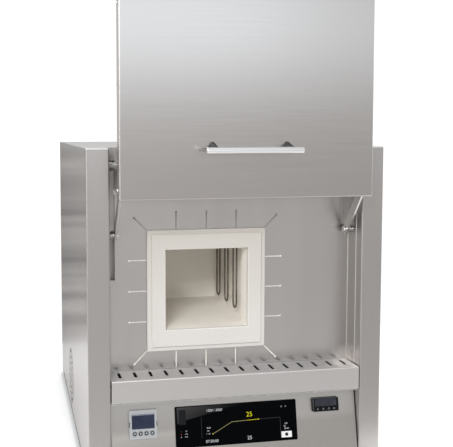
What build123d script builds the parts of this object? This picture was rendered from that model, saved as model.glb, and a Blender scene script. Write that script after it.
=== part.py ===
from build123d import *

import os
from math import atan2, cos, degrees, hypot, pi, sin

# Bench-top high-temperature chamber furnace. The door is a flat steel pan that swings up and out on
# two pairs of parallel arms, so that its hot side always faces away from the person in front.
# Sizes are in millimetres. +X is to the right, -Y is the front, +Z is up, Z = 0 is the bench.
# Depths are counted from the front face of the case towards the rear and turned into Y by back().

# Case
case_width = 490.0
case_depth = 625.0
case_height = 540.0
foot_height = 11.0
foot_radius = 18.0
foot_inset = 42.0
sheet = 1.5
fold_radius = 2.0
pillar_width = 36.0
recess_depth = 52.0
running_gap = 0.1

# Slotted shelf and sloping control panel below the door
shelf_top = 173.0
lip_height = 37.0
front_gap = 1.5
panel_setback = 22.0
panel_foot = 15.0
shelf_slots = 16
shelf_slot_margin = 16.25
shelf_slot_length = 28.0
shelf_slot_width = 5.0
shelf_slot_depth = 29.5

# Heated chamber, which stands left of the middle to leave room for the electrics
left_bay = 58.0
bay_clearance = 20.0
chamber_width = 154.0
chamber_height = 150.0
chamber_depth = 207.0
sill_height = 239.5
neck_width = 140.0
neck_height = 133.0
side_insulation = 68.0
roof_insulation = 67.5
rear_insulation = 65.0
front_insulation = 29.5
collar_size = 200.0
collar_centre_height = 65.0
collar_edge = 1.0
collar_proud = 8.0
collar_rim = 7.0
collar_rim_step = 3.0
collar_clearance = 0.5

# Relief cuts in the sheet around the collar
slit_shelf_gap = 2.5
slit_width = 2.0
slit_end_radius = 1.9
slit_spacing = 51.0

# Heating elements: hairpins that hang along both side walls
elements_per_side = 3
element_pitch = 56.0
first_element_depth = 120.0
element_wall_gap = 8.0
leg_spacing = 21.0
hot_leg_radius = 1.5
cold_leg_radius = 3.0
element_floor_gap = 15.5
cold_leg_drop = 9.5
cold_leg_rise = 30.0
element_fit = 0.2
holder_length = 36.0
holder_width = 16.0
holder_height = 12.0
strap_thickness = 3.0
strap_width = 12.0
strap_height = 18.0

# Door
door_side_gap = 8.5
door_top_gap = 1.0
door_depth = 26.0
door_skin = 1.2
door_lift = 287.0
door_forward = 53.0
door_shelf_gap = 3.0
bottom_flange_depth = 20.0
tray_side_gap = 20.0
tray_margin = 8.0
tray_depth = 24.8
plug_size = 190.0
plug_thickness = 18.6
plug_tip_depth = 16.0
plug_tip_clearance = 6.0
plug_tip_draft = 4.0
plug_frame_depth = 9.0

# Arms, all cut to one outline: two straight legs that meet at a knee. The upper arms lie inside
# the plane of the lower ones, because their knees pass the lower pivots when the door is down.
arm_thickness = 3.0
arm_half_width = 8.0
arm_side_gap = 14.5
arm_plane_gap = 4.0
case_pivot_depth = 36.0
case_pivot_drop = 140.0
pivot_spacing = 112.0
door_pivot_depth = 13.0
knee_rise = 90.0
pin_radius = 3.0
pin_clearance = 0.05
open_pivot_clearance = 0.3
pin_head_radius = 4.6
pin_head = 3.2
bush_radius = 4.8
door_spacer_radius = 5.0
nut_radius = 6.0
nut_height = 5.0
bracket_clearance = 0.5
bracket_end_gap = 3.5
bracket_front_depth = 30.0

# Handle
handle_length = 150.0
handle_radius = 5.0
handle_reach = 29.0
handle_height = 74.5
handle_post_spacing = 118.0
handle_post_radius = 4.5
handle_post_rise = 8.0

# Display and instruments on the sloping panel. Their top edges are in line, and heights
# are counted along the slope from the fold at the foot of the panel.
instrument_top = 95.0
display_width = 206.0
display_height = 65.5
display_glass_thickness = 2.0
display_border = 8.0
display_body_depth = 28.0
limit_edge = 53.0
limit_size = 46.0
limit_body_depth = 58.0
bezel_thickness = 6.0
body_inset = 2.0
cutout_clearance = 0.3
limit_window_width = 37.0
limit_window_height = 23.0
limit_window_drop = 7.0
limit_key_radius = 3.0
limit_key_pitch = 9.5
limit_key_height = 9.0
meter_edge = 55.0
meter_width = 46.0
meter_height = 23.0
meter_body_depth = 50.0
meter_window_width = 38.0
meter_window_height = 12.0
meter_window_drop = 2.2
meter_key_radius = 2.2
meter_key_pitch = 9.6
meter_key_height = 4.6
keys_per_row = 4
key_clearance = 0.15
key_length = 3.4
key_proud = 0.5
key_travel = 0.8
key_well_spare = 0.8
window_recess = 1.2
window_fit = 0.1

# Slot in the back wall of the recess, beside the left arms
slot_below_pivot = 80.0
slot_above_pivot = 7.0
slot_overlap = 6.5
slot_margin = 3.0

# Side vent
vent_depth = 346.0
vent_z = 80.0
vent_rings = 4
vent_ring_pitch = 12.0
vent_hole_radius = 2.6
vent_holes_per_ring = 6

# Rear panel
fan_edge = 95.0
fan_drop = 120.0
fan_corner = 4.0
fan_screw_inset = 4.5
fan_screw_radius = 2.2
fan_strut = 4.0
fan_rotor_gap = 0.8
fan_blade_thickness = 1.6
fan_size = 80.0
fan_thickness = 25.0
fan_bore_radius = 38.0
fan_hub_radius = 16.0
fan_blades = 7
fan_blade_radius = 36.5
fan_blade_chord = 17.0
blade_pitch = 0.65
fan_rotor_depth = 14.0
fan_spindle_radius = 2.0
fan_motor_height = 6.0
guard_thickness = 2.0
guard_rings = 4
guard_ring_width = 1.6
guard_lug_radius = 6.0
guard_bar = 3.0
guard_bar_reach = 10.0
exhaust_height = 128.5
exhaust_radius = 10.0
exhaust_bore = 7.0
exhaust_reach = 14.0
exhaust_fit = 0.3
gland_edge = 95.0
gland_z = 60.0
gland_reach = 22.0
gland_radius = 9.0
gland_bore = 5.0
switch_edge = 50.0
switch_z = 62.0
switch_width = 22.0
switch_height = 30.0
switch_body_depth = 24.0
switch_rim = 2.0
rocker_angle = 10.0
rocker_clearance = 0.4
rocker_pin_radius = 1.5
louvre_count = 8
louvre_width = 60.0
louvre_height = 4.0
louvre_pitch = 11.0
louvre_z = 45.0
louvre_edge = 125.0
louvre_column_pitch = 78.0

# Pieces inside the case
stand_plate = 3.0
stand_leg = 25.0
stand_leg_sheet = 2.0
stand_leg_inset = 46.0
transformer_width = 150.0
transformer_depth = 110.0
transformer_height = 125.0
transformer_gap = 45.0
coil_overhang = 14.0
core_limb = 30.0
lead_post_depth = 7.0
lead_post_height = 14.0
thermocouple_offset = 40.0
thermocouple_height = 122.5
thermocouple_radius = 3.0
thermocouple_dip = 20.0
thermocouple_head_radius = 13.0
thermocouple_head_length = 24.0
thermocouple_flange = 5.0
controller_depth = 300.0
controller_length = 120.0
controller_base = 8.0
controller_height = 60.0
fin_count = 9
fin_thickness = 3.0
module_height = 25.0
terminal_edge = 175.0
terminal_hole_radius = 2.6
terminal_hole_depth = 8.0
terminal_setback = 65.0
terminal_width = 70.0
terminal_length = 24.0
terminal_height = 26.0

# Worked out from the values above
half_width = case_width / 2
recess_half = half_width - pillar_width
front_reach = door_forward + handle_reach + handle_radius
rear_reach = case_depth + gland_reach
front_y = (front_reach - rear_reach) / 2
chamber_x = -half_width + left_bay + side_insulation + chamber_width / 2
collar_centre_z = sill_height + collar_centre_height
element_bottom = sill_height + element_floor_gap
cold_leg_start = sill_height + chamber_height - cold_leg_drop
exhaust_z = sill_height + exhaust_height
thermocouple_z = sill_height + thermocouple_height
door_width = 2 * (recess_half - door_side_gap)
door_height = case_height - shelf_top - door_shelf_gap - door_top_gap
tray_width = door_width - 2 * tray_side_gap
arm_inner_x = recess_half - arm_side_gap
case_pivot_z = case_height - case_pivot_drop
limit_x = limit_edge - recess_half
meter_x = recess_half - meter_edge
fan_x = half_width - fan_edge
fan_z = case_height - fan_drop
gland_x = half_width - gland_edge
switch_x = half_width - switch_edge
louvre_x = louvre_edge - half_width
terminal_x = half_width - terminal_edge
terminal_depth = case_depth - terminal_setback
slit_length = collar_centre_z - collar_size / 2 - shelf_top - slit_shelf_gap
slit_diagonal = slit_length + sheet / 2
lip_bottom = shelf_top - lip_height
insulation_left_x = chamber_x - chamber_width / 2 - side_insulation
insulation_right_x = chamber_x + chamber_width / 2 + side_insulation
right_bay = half_width - sheet - insulation_right_x
controller_width = right_bay - 2 * bay_clearance
controller_x = insulation_right_x + right_bay / 2
chamber_left_x = chamber_x - chamber_width / 2
chamber_right_x = chamber_x + chamber_width / 2
front_board_depth = recess_depth + sheet
chamber_start = front_board_depth + front_insulation
chamber_end = chamber_start + chamber_depth
insulation_end = chamber_end + rear_insulation
transformer_start = insulation_end + transformer_gap
ceiling = sill_height + chamber_height
roof_top = ceiling + roof_insulation
floor_bottom = shelf_top + 2 * sheet
door_closed_bottom = shelf_top + door_shelf_gap
door_bottom = door_closed_bottom + door_lift
door_front = -door_forward
arm_outer_x = arm_inner_x + arm_thickness
upper_arm_inner_x = arm_inner_x - arm_plane_gap - arm_thickness

# The four-bar linkage. The arm's reach in front of its case pivot is known in both end positions,
# and its rise follows from the lift, because the arm keeps its length.
arm_reach_open = case_pivot_depth - door_front - door_pivot_depth
arm_reach_closed = case_pivot_depth - door_pivot_depth
arm_rise_open = (arm_reach_closed**2 - arm_reach_open**2 + door_lift**2) / (2 * door_lift)
arm_length = hypot(arm_reach_open, arm_rise_open)
open_angle = atan2(arm_rise_open, -arm_reach_open)
closed_angle = atan2(-(door_lift - arm_rise_open), -arm_reach_closed) % (2 * pi)
print("arm length", round(arm_length, 2), "closing angle", round(degrees(closed_angle - open_angle), 2))


def back(depth):
    """The Y of the plane that lies this far behind the front face of the case."""
    return front_y + depth


print("front face of the case at Y", round(back(0), 3))


def front_plane(depth):
    """A sketch plane seen from the front: X to the right, Z up, facing the front."""
    return Plane(origin=(0, back(depth), 0), x_dir=(1, 0, 0), z_dir=(0, -1, 0))


def side_plane(x):
    """A sketch plane across the case: local x runs to the rear, local y up, facing +X."""
    return Plane(origin=(x, 0, 0), x_dir=(0, 1, 0), z_dir=(1, 0, 0))


def block(x, depth, z, mode=Mode.ADD):
    """A rectangular block between pairs of low and high values, with depth from the case front."""
    middle = (sum(x) / 2, back(sum(depth) / 2), sum(z) / 2)
    with Locations(middle):
        Box(x[1] - x[0], depth[1] - depth[0], z[1] - z[0], mode=mode)


def cross_rod(x, depth, z, radius, mode=Mode.ADD):
    """A round rod along X between a pair of low and high values."""
    with BuildSketch(Plane(origin=(x[0], back(depth), z), x_dir=(0, 1, 0), z_dir=(1, 0, 0))) as outline:
        Circle(radius)
    extrude(outline.sketch, amount=x[1] - x[0], mode=mode)


def long_rod(x, depth, z, radius, mode=Mode.ADD):
    """A round rod that runs from front to rear between a pair of depths."""
    with BuildSketch(Plane(origin=(x, back(depth[0]), z), x_dir=(1, 0, 0), z_dir=(0, 1, 0))) as outline:
        Circle(radius)
    extrude(outline.sketch, amount=depth[1] - depth[0], mode=mode)


def upright_rod(x, depth, z, radius, mode=Mode.ADD):
    """A round rod along Z between a pair of low and high values."""
    with BuildSketch(Plane.XY.offset(z[0])) as outline:
        with Locations((x, back(depth))):
            Circle(radius)
    extrude(outline.sketch, amount=z[1] - z[0], mode=mode)


def save(builder, label):
    """Label a finished piece and write its file."""
    builder.part.label = label
    export_step(builder.part, f"parts/{label}.step")


os.makedirs("parts", exist_ok=True)

# Side panels: an outer wall, a pillar face and a return that forms the side of the door recess
pivot_heights = (case_pivot_z, case_pivot_z + pivot_spacing)


def side_panel_body():
    """The right-hand side panel, folded from one sheet, with holes for the two pivot pins."""
    block((half_width - sheet, half_width), (0, case_depth), (foot_height, case_height))
    block((recess_half, half_width), (0, sheet), (foot_height, case_height))
    above_base = (foot_height + sheet, case_height)
    block((recess_half, recess_half + sheet), (0, front_board_depth), above_base)
    folds = edges().filter_by(Axis.Z).group_by(Axis.Y)[0]
    fillet(folds, fold_radius)
    for pivot_z in pivot_heights:
        wall = (recess_half - sheet, recess_half + 2 * sheet)
        cross_rod(wall, case_pivot_depth, pivot_z, pin_radius + running_gap, Mode.SUBTRACT)


with BuildPart() as right_side_panel:
    side_panel_body()

with BuildPart() as left_side_panel:
    side_panel_body()
    mirror(about=Plane.YZ, mode=Mode.REPLACE)
    with BuildSketch(side_plane(-half_width)):
        with Locations((back(vent_depth), vent_z)):
            Circle(vent_hole_radius)
            for ring in range(1, vent_rings + 1):
                with PolarLocations(ring * vent_ring_pitch, ring * vent_holes_per_ring):
                    Circle(vent_hole_radius)
    extrude(amount=sheet, mode=Mode.SUBTRACT)

save(right_side_panel, "right_side_panel")
save(left_side_panel, "left_side_panel")

# Top panel, notched where the door recess is open at the top
inner_half = half_width - sheet
with BuildPart() as top_panel:
    block((-inner_half, inner_half), (sheet, case_depth - sheet), (case_height - sheet, case_height))
    notch = (-recess_half - sheet, recess_half + sheet)
    block(notch, (0, front_board_depth), (case_height - 2 * sheet, case_height), Mode.SUBTRACT)
save(top_panel, "top_panel")

# Base plate, with a row of air slots under the electrics
with BuildPart() as base_plate:
    block((-inner_half, inner_half), (sheet, case_depth - sheet), (foot_height, foot_height + sheet))
    with BuildSketch(Plane.XY.offset(foot_height)):
        with Locations((controller_x, back(controller_depth - louvre_width))):
            with GridLocations(louvre_pitch, 0, louvre_count, 1):
                SlotOverall(louvre_width, louvre_height, rotation=90)
    extrude(amount=sheet, mode=Mode.SUBTRACT)
save(base_plate, "base_plate")
base_top = foot_height + sheet

# Feet
foot_span_x = case_width - 2 * foot_inset
foot_span_y = case_depth - 2 * foot_inset
with BuildPart() as feet:
    with BuildSketch(Plane((0, back(case_depth / 2), 0))):
        with GridLocations(foot_span_x, foot_span_y, 2, 2):
            Circle(foot_radius)
    extrude(amount=foot_height, taper=-4)
save(feet, "feet")

# Rear panel with the fan opening, louvres and holes for the exhaust tube, gland and switch
with BuildPart() as rear_panel:
    block((-inner_half, inner_half), (case_depth - sheet, case_depth), (foot_height, case_height))
    with BuildSketch(front_plane(case_depth - sheet)):
        with Locations((fan_x, fan_z)):
            Circle(fan_bore_radius)
        with Locations((chamber_x, exhaust_z)):
            Circle(exhaust_radius + exhaust_fit)
        with Locations((gland_x, gland_z)):
            Circle(gland_radius - sheet)
        with Locations((switch_x, switch_z)):
            Rectangle(switch_width - 2 * switch_rim, switch_height - 2 * switch_rim)
        with Locations((louvre_x, louvre_z + louvre_count * louvre_pitch / 2)):
            with GridLocations(louvre_column_pitch, louvre_pitch, 2, louvre_count):
                SlotOverall(louvre_width, louvre_height)
    extrude(amount=-sheet, mode=Mode.SUBTRACT)
save(rear_panel, "rear_panel")

# Back wall of the door recess: opening for the collar, relief cuts and a slot beside the left arms
collar_half = collar_size / 2
collar_hole_half = collar_half + collar_clearance
slot_inner_x = arm_outer_x - slot_overlap
slot_outer_x = recess_half - slot_margin
slot_bottom = pivot_heights[0] - slot_below_pivot
slot_top = pivot_heights[1] + slot_above_pivot


def slit(start, direction, length):
    """One relief cut with a small round hole at its end, from start along a unit direction."""
    end = (start[0] + direction[0] * length, start[1] + direction[1] * length)
    angle = degrees(atan2(direction[1], direction[0]))
    middle = ((start[0] + end[0]) / 2, (start[1] + end[1]) / 2)
    with Locations(Location((middle[0], middle[1], 0), (0, 0, angle))):
        Rectangle(length + slit_width, slit_width)
    with Locations(end):
        Circle(slit_end_radius)


with BuildPart() as recess_panel:
    block((-recess_half, recess_half), (recess_depth, front_board_depth), (shelf_top, case_height))
    with BuildSketch(front_plane(recess_depth)):
        with Locations((chamber_x, collar_centre_z)):
            Rectangle(2 * collar_hole_half, 2 * collar_hole_half)
            for turn in range(4):
                out = (round(cos(turn * pi / 2)), round(sin(turn * pi / 2)))
                for place in (-slit_spacing, 0, slit_spacing):
                    start = (out[0] * collar_half - out[1] * place, out[1] * collar_half + out[0] * place)
                    slit(start, out, slit_length)
                corner = (collar_half * (out[0] - out[1]), collar_half * (out[1] + out[0]))
                slope = ((out[0] - out[1]) / 2**0.5, (out[1] + out[0]) / 2**0.5)
                slit(corner, slope, slit_diagonal)
        with Locations((-(slot_inner_x + slot_outer_x) / 2, (slot_bottom + slot_top) / 2)):
            Rectangle(slot_outer_x - slot_inner_x, slot_top - slot_bottom)
    extrude(amount=-sheet, mode=Mode.SUBTRACT)
save(recess_panel, "recess_panel")

# Slotted shelf with its front lip, folded from one sheet
shelf_half = recess_half - front_gap
shelf_slot_pitch = 2 * (shelf_half - shelf_slot_margin) / (shelf_slots - 1)
shelf_rear = recess_depth - front_gap / 3
with BuildPart() as vent_shelf:
    block((-shelf_half, shelf_half), (0, shelf_rear), (shelf_top - sheet, shelf_top))
    block((-shelf_half, shelf_half), (0, sheet), (lip_bottom, shelf_top))
    block((-shelf_half, shelf_half), (0, panel_setback + 4), (lip_bottom, lip_bottom + sheet))
    fillet(edges().filter_by(Axis.X).group_by(Axis.Y)[0], fold_radius)
    with BuildSketch(Plane.XY.offset(shelf_top - sheet)):
        with Locations((0, back(shelf_slot_depth))):
            with GridLocations(shelf_slot_pitch, 0, shelf_slots, 1):
                SlotOverall(shelf_slot_length, shelf_slot_width, rotation=90)
    extrude(amount=sheet, mode=Mode.SUBTRACT)
save(vent_shelf, "vent_shelf")

# Sloping control panel with its cut-outs
fold_z = foot_height + panel_foot
slope_run = panel_setback
slope_rise = lip_bottom - fold_z
slope_length = hypot(slope_run, slope_rise)
slope_y = slope_run / slope_length
slope_z = slope_rise / slope_length
slope_inset = sheet / slope_z
panel_plane = Plane(origin=(0, back(0), fold_z), x_dir=(1, 0, 0), z_dir=(0, -slope_z, slope_y))


def on_panel(x, height, rise=0.0):
    """A sketch plane on the sloping panel: x across, height up the slope, rise off its face."""
    return Plane(panel_plane.from_local_coords((x, height, rise)), panel_plane.x_dir, panel_plane.z_dir)


display_centre = instrument_top - display_height / 2
limit_centre = instrument_top - limit_size / 2
meter_centre = instrument_top - meter_height / 2
display_body = (display_width - 2 * display_border, display_height - 2 * display_border)
limit_body = limit_size - 2 * body_inset
meter_body_size = (meter_width - 2 * body_inset, meter_height - 2 * body_inset)
fold_shift = sheet * (1 - slope_z) / slope_y
with BuildPart() as control_panel:
    with BuildSketch(side_plane(-shelf_half)):
        with BuildLine():
            Polyline(
                (back(0), foot_height),
                (back(0), fold_z),
                (back(panel_setback), lip_bottom),
                (back(panel_setback + slope_inset), lip_bottom),
                (back(sheet), fold_z - fold_shift),
                (back(sheet), foot_height),
                close=True,
            )
        make_face()
    extrude(amount=2 * shelf_half)
    with BuildSketch(panel_plane):
        with Locations((0, display_centre)):
            Rectangle(display_body[0] + 2 * cutout_clearance, display_body[1] + 2 * cutout_clearance)
        with Locations((limit_x, limit_centre)):
            Rectangle(limit_body + 2 * cutout_clearance, limit_body + 2 * cutout_clearance)
        with Locations((meter_x, meter_centre)):
            Rectangle(meter_body_size[0] + 2 * cutout_clearance, meter_body_size[1] + 2 * cutout_clearance)
    extrude(amount=-2 * sheet, mode=Mode.SUBTRACT)
save(control_panel, "control_panel")

# Colour display: a glass front on a shallow housing
with BuildPart() as display_housing:
    with BuildSketch(on_panel(0, display_centre)):
        RectangleRounded(*display_body, 3)
    extrude(amount=-display_body_depth)
    with BuildSketch(on_panel(0, display_centre, -display_body_depth)):
        RectangleRounded(display_body[0] * 0.6, display_body[1] * 0.6, 3)
    extrude(amount=-10)
save(display_housing, "display_housing")

with BuildPart() as display_glass:
    with BuildSketch(on_panel(0, display_centre)):
        RectangleRounded(display_width, display_height, 1.5)
    extrude(amount=display_glass_thickness)
    chamfer(display_glass.faces().sort_by(Axis(panel_plane.origin, panel_plane.z_dir))[-1].edges(), 0.4)
save(display_glass, "display_glass")


def key_places(pitch):
    """The places of a row of keys, counted from the middle of the instrument."""
    return [(number - (keys_per_row - 1) / 2) * pitch for number in range(keys_per_row)]


def instrument(x, size, body, body_depth, window, window_centre, key_radius, key_pitch, key_row):
    """A panel instrument: a bezel on the panel face, a body behind it, a window and key wells."""
    middle = instrument_top - size[1] / 2
    with BuildSketch(on_panel(x, middle)) as bezel:
        RectangleRounded(*size, 2.5)
    extrude(bezel.sketch, amount=bezel_thickness, taper=4)
    with BuildSketch(on_panel(x, middle)) as housing:
        RectangleRounded(*body, 1.5)
    extrude(housing.sketch, amount=-body_depth)
    with BuildSketch(on_panel(x, window_centre, bezel_thickness)) as opening:
        Rectangle(*window)
    extrude(opening.sketch, amount=-window_recess, mode=Mode.SUBTRACT)
    with BuildSketch(on_panel(x, key_row, bezel_thickness)) as wells:
        with Locations(*[(place, 0) for place in key_places(key_pitch)]):
            Circle(key_radius + key_clearance)
    well_depth = key_length + key_travel + key_well_spare - key_proud
    extrude(wells.sketch, amount=-well_depth, mode=Mode.SUBTRACT)


def key(x, key_row, key_radius):
    """One round key, standing in its well with its face just proud of the bezel."""
    with BuildSketch(on_panel(x, key_row, bezel_thickness + key_proud)) as face:
        Circle(key_radius)
    extrude(face.sketch, amount=-key_length)


# Over-temperature limit controller, left of the display
limit_key_row = instrument_top - limit_size + limit_key_height
limit_window_centre = instrument_top - limit_window_drop - limit_window_height / 2
with BuildPart() as limit_controller:
    instrument(
        limit_x,
        (limit_size, limit_size),
        (limit_body, limit_body),
        limit_body_depth,
        (limit_window_width, limit_window_height),
        limit_window_centre,
        limit_key_radius,
        limit_key_pitch,
        limit_key_row,
    )
save(limit_controller, "limit_controller")

with BuildPart() as limit_window:
    with BuildSketch(on_panel(limit_x, limit_window_centre, bezel_thickness - window_recess)):
        Rectangle(limit_window_width - 2 * window_fit, limit_window_height - 2 * window_fit)
    extrude(amount=window_recess * 0.75)
save(limit_window, "limit_window")

# Small panel meter, right of the display
meter_key_row = instrument_top - meter_height + meter_key_height
meter_window_centre = instrument_top - meter_window_drop - meter_window_height / 2
with BuildPart() as meter_body:
    instrument(
        meter_x,
        (meter_width, meter_height),
        meter_body_size,
        meter_body_depth,
        (meter_window_width, meter_window_height),
        meter_window_centre,
        meter_key_radius,
        meter_key_pitch,
        meter_key_row,
    )
save(meter_body, "meter_body")

with BuildPart() as meter_window:
    with BuildSketch(on_panel(meter_x, meter_window_centre, bezel_thickness - window_recess)):
        Rectangle(meter_window_width - 2 * window_fit, meter_window_height - 2 * window_fit)
    extrude(amount=window_recess * 0.75)
save(meter_window, "meter_window")

for number, place in enumerate(key_places(limit_key_pitch), 1):
    with BuildPart() as limit_key:
        key(limit_x + place, limit_key_row, limit_key_radius)
    save(limit_key, f"limit_key_{number}")

for number, place in enumerate(key_places(meter_key_pitch), 1):
    with BuildPart() as meter_key:
        key(meter_x + place, meter_key_row, meter_key_radius)
    save(meter_key, f"meter_key_{number}")

# Stand that carries the insulation above the electrics
stand_left = insulation_left_x
stand_right = insulation_right_x
stand_top = floor_bottom
stand_front = front_board_depth
leg_depths = (stand_front + stand_leg_inset, insulation_end - stand_leg)
with BuildPart() as chamber_stand:
    block((stand_left, stand_right), (stand_front, insulation_end), (stand_top - stand_plate, stand_top))
    leg_z = (base_top, stand_top - stand_plate)
    for leg_depth in leg_depths:
        rear_of_leg = leg_depth + stand_leg
        block((stand_left, stand_left + stand_leg_sheet), (leg_depth, rear_of_leg), leg_z)
        block((stand_left, stand_left + stand_leg), (leg_depth, leg_depth + stand_leg_sheet), leg_z)
        block((stand_right - stand_leg_sheet, stand_right), (leg_depth, rear_of_leg), leg_z)
        block((stand_right - stand_leg, stand_right), (leg_depth, leg_depth + stand_leg_sheet), leg_z)
        foot_z = (base_top, base_top + stand_leg_sheet)
        block((stand_left, stand_left + stand_leg), (leg_depth, rear_of_leg), foot_z)
        block((stand_right - stand_leg, stand_right), (leg_depth, rear_of_leg), foot_z)
save(chamber_stand, "chamber_stand")

# Insulation: six fibre boards around the chamber, the front one with the neck through it
insulation_x = (insulation_left_x, insulation_right_x)
insulation_depth = (chamber_start, insulation_end)
wall_z = (sill_height, ceiling)
element_x = (chamber_left_x + element_wall_gap, chamber_right_x - element_wall_gap)
element_depths = [first_element_depth + number * element_pitch for number in range(elements_per_side)]
leg_depth_list = [depth + side * leg_spacing / 2 for depth in element_depths for side in (-1, 1)]

with BuildPart() as insulation_floor:
    block(insulation_x, insulation_depth, (floor_bottom, sill_height))
save(insulation_floor, "insulation_floor")

with BuildPart() as insulation_roof:
    block(insulation_x, insulation_depth, (ceiling, roof_top))
    for x in element_x:
        for depth in leg_depth_list:
            upright_rod(x, depth, (ceiling, roof_top), cold_leg_radius + element_fit, Mode.SUBTRACT)
save(insulation_roof, "insulation_roof")

with BuildPart() as insulation_left:
    block((insulation_left_x, chamber_left_x), insulation_depth, wall_z)
save(insulation_left, "insulation_left")

with BuildPart() as insulation_right:
    block((chamber_right_x, insulation_right_x), insulation_depth, wall_z)
save(insulation_right, "insulation_right")

with BuildPart() as insulation_rear:
    block((chamber_left_x, chamber_right_x), (chamber_end, insulation_end), wall_z)
    rear_board = (chamber_end, insulation_end)
    long_rod(chamber_x, rear_board, exhaust_z, exhaust_radius + exhaust_fit, Mode.SUBTRACT)
    probe_hole = thermocouple_radius + exhaust_fit
    probe_x = chamber_x + thermocouple_offset
    long_rod(probe_x, rear_board, thermocouple_z, probe_hole, Mode.SUBTRACT)
save(insulation_rear, "insulation_rear")

neck_x = (chamber_x - neck_width / 2, chamber_x + neck_width / 2)
neck_z = (sill_height, sill_height + neck_height)
with BuildPart() as insulation_front:
    block(insulation_x, (front_board_depth, chamber_start), (floor_bottom, roof_top))
    block(neck_x, (front_board_depth, chamber_start), neck_z, Mode.SUBTRACT)
save(insulation_front, "insulation_front")

# Collar: the white frame around the opening, with a lower rim, which the door's plug meets
collar_front = recess_depth - collar_proud
collar_x = (chamber_x - collar_half, chamber_x + collar_half)
collar_z = (collar_centre_z - collar_half, collar_centre_z + collar_half)
rim_x = (collar_x[0] + collar_rim, collar_x[1] - collar_rim)
rim_z = (collar_z[0] + collar_rim, collar_z[1] - collar_rim)
with BuildPart() as collar:
    block(collar_x, (collar_front + collar_rim_step, front_board_depth), collar_z)
    block(rim_x, (collar_front, front_board_depth), rim_z)
    block(neck_x, (collar_front, front_board_depth), neck_z, Mode.SUBTRACT)
    fillet(faces().sort_by(Axis.Y)[0].edges(), collar_edge)
    fillet(faces().filter_by(Axis.Y).sort_by(Axis.Y)[1].outer_wire().edges(), collar_edge)
save(collar, "collar")


def hairpins(x):
    """The row of hairpin elements along one wall: thin legs in the heat, thick legs in the roof."""
    bend_z = element_bottom + leg_spacing / 2
    for depth in element_depths:
        for side in (-1, 1):
            leg = depth + side * leg_spacing / 2
            upright_rod(x, leg, (bend_z, cold_leg_start), hot_leg_radius)
            upright_rod(x, leg, (cold_leg_start, roof_top + cold_leg_rise), cold_leg_radius)
        start = Plane(origin=(x, back(depth + leg_spacing / 2), bend_z), z_dir=(0, 0, -1))
        with BuildSketch(start) as wire:
            Circle(hot_leg_radius)
        middle = Axis((x, back(depth), bend_z), (1, 0, 0))
        revolve(wire.sketch, axis=middle, revolution_arc=-180)


with BuildPart() as heating_elements:
    for x in element_x:
        hairpins(x)
save(heating_elements, "heating_elements")

# Ceramic holders that stand on the roof and carry the elements
holder_top = roof_top + holder_height
with BuildPart() as element_holders:
    for x in element_x:
        for depth in element_depths:
            width = (x - holder_width / 2, x + holder_width / 2)
            block(width, (depth - holder_length / 2, depth + holder_length / 2), (roof_top, holder_top))
        for depth in leg_depth_list:
            upright_rod(x, depth, (roof_top, holder_top), cold_leg_radius + running_gap, Mode.SUBTRACT)
save(element_holders, "element_holders")

# Straps that join the elements in one series chain
strap_z = (roof_top + strap_height, roof_top + strap_height + strap_thickness)
strap_half = strap_width / 2
with BuildPart() as element_straps:
    for x in element_x:
        for depth in element_depths[:-1]:
            leg_offset = leg_spacing / 2 - strap_half
            ends = (depth + leg_offset, depth + element_pitch - leg_offset)
            block((x - strap_half, x + strap_half), ends, strap_z)
    first_leg = leg_depth_list[0]
    across = (element_x[0] - strap_half, element_x[1] + strap_half)
    block(across, (first_leg - strap_half, first_leg + strap_half), strap_z)
    for x in element_x:
        for depth in leg_depth_list:
            upright_rod(x, depth, strap_z, cold_leg_radius + running_gap, Mode.SUBTRACT)
save(element_straps, "element_straps")

# Leads from the last elements back over the roof and down to the transformer
lead_front = leg_depth_list[-1] - strap_half
lead_rear = transformer_start - lead_post_depth
transformer_top = base_top + transformer_height
lead_bottom = transformer_top - lead_post_height
with BuildPart() as power_leads:
    for x in element_x:
        width = (x - strap_half, x + strap_half)
        block(width, (lead_front, lead_rear), strap_z)
        block(width, (lead_rear - strap_thickness, lead_rear), (lead_bottom, strap_z[1]))
        hole = cold_leg_radius + running_gap
        upright_rod(x, leg_depth_list[-1], strap_z, hole, Mode.SUBTRACT)
save(power_leads, "power_leads")

# Transformer: laminated core with one coil and two terminal posts
transformer_x = (chamber_x - transformer_width / 2, chamber_x + transformer_width / 2)
transformer_end = transformer_start + transformer_depth
with BuildPart() as transformer:
    core_depth = (transformer_start + coil_overhang, transformer_end - coil_overhang)
    block(transformer_x, core_depth, (base_top, transformer_top))
    coil_x = (transformer_x[0] + core_limb, transformer_x[1] - core_limb)
    coil_z = (base_top + core_limb / 2, transformer_top - core_limb / 2)
    block(coil_x, (transformer_start, transformer_end), coil_z)
    for x in element_x:
        post_z = (transformer_top - lead_post_height, transformer_top)
        block((x - strap_half, x + strap_half), (lead_rear, core_depth[0]), post_z)
save(transformer, "transformer")

# Thermocouple through the rear board
with BuildPart() as thermocouple:
    tip = chamber_end - thermocouple_dip
    flange_end = insulation_end + thermocouple_flange
    long_rod(probe_x, (tip, flange_end), thermocouple_z, thermocouple_radius)
    long_rod(probe_x, (insulation_end, flange_end), thermocouple_z, thermocouple_head_radius)
    head = (flange_end, flange_end + thermocouple_head_length)
    long_rod(probe_x, head, thermocouple_z, thermocouple_head_radius - 3)
save(thermocouple, "thermocouple")

# Exhaust tube from the chamber to the rear
with BuildPart() as exhaust_tube:
    long_rod(chamber_x, (chamber_end, case_depth + exhaust_reach), exhaust_z, exhaust_radius)
    long_rod(chamber_x, (chamber_end, case_depth + exhaust_reach), exhaust_z, exhaust_bore, Mode.SUBTRACT)
save(exhaust_tube, "exhaust_tube")

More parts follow.
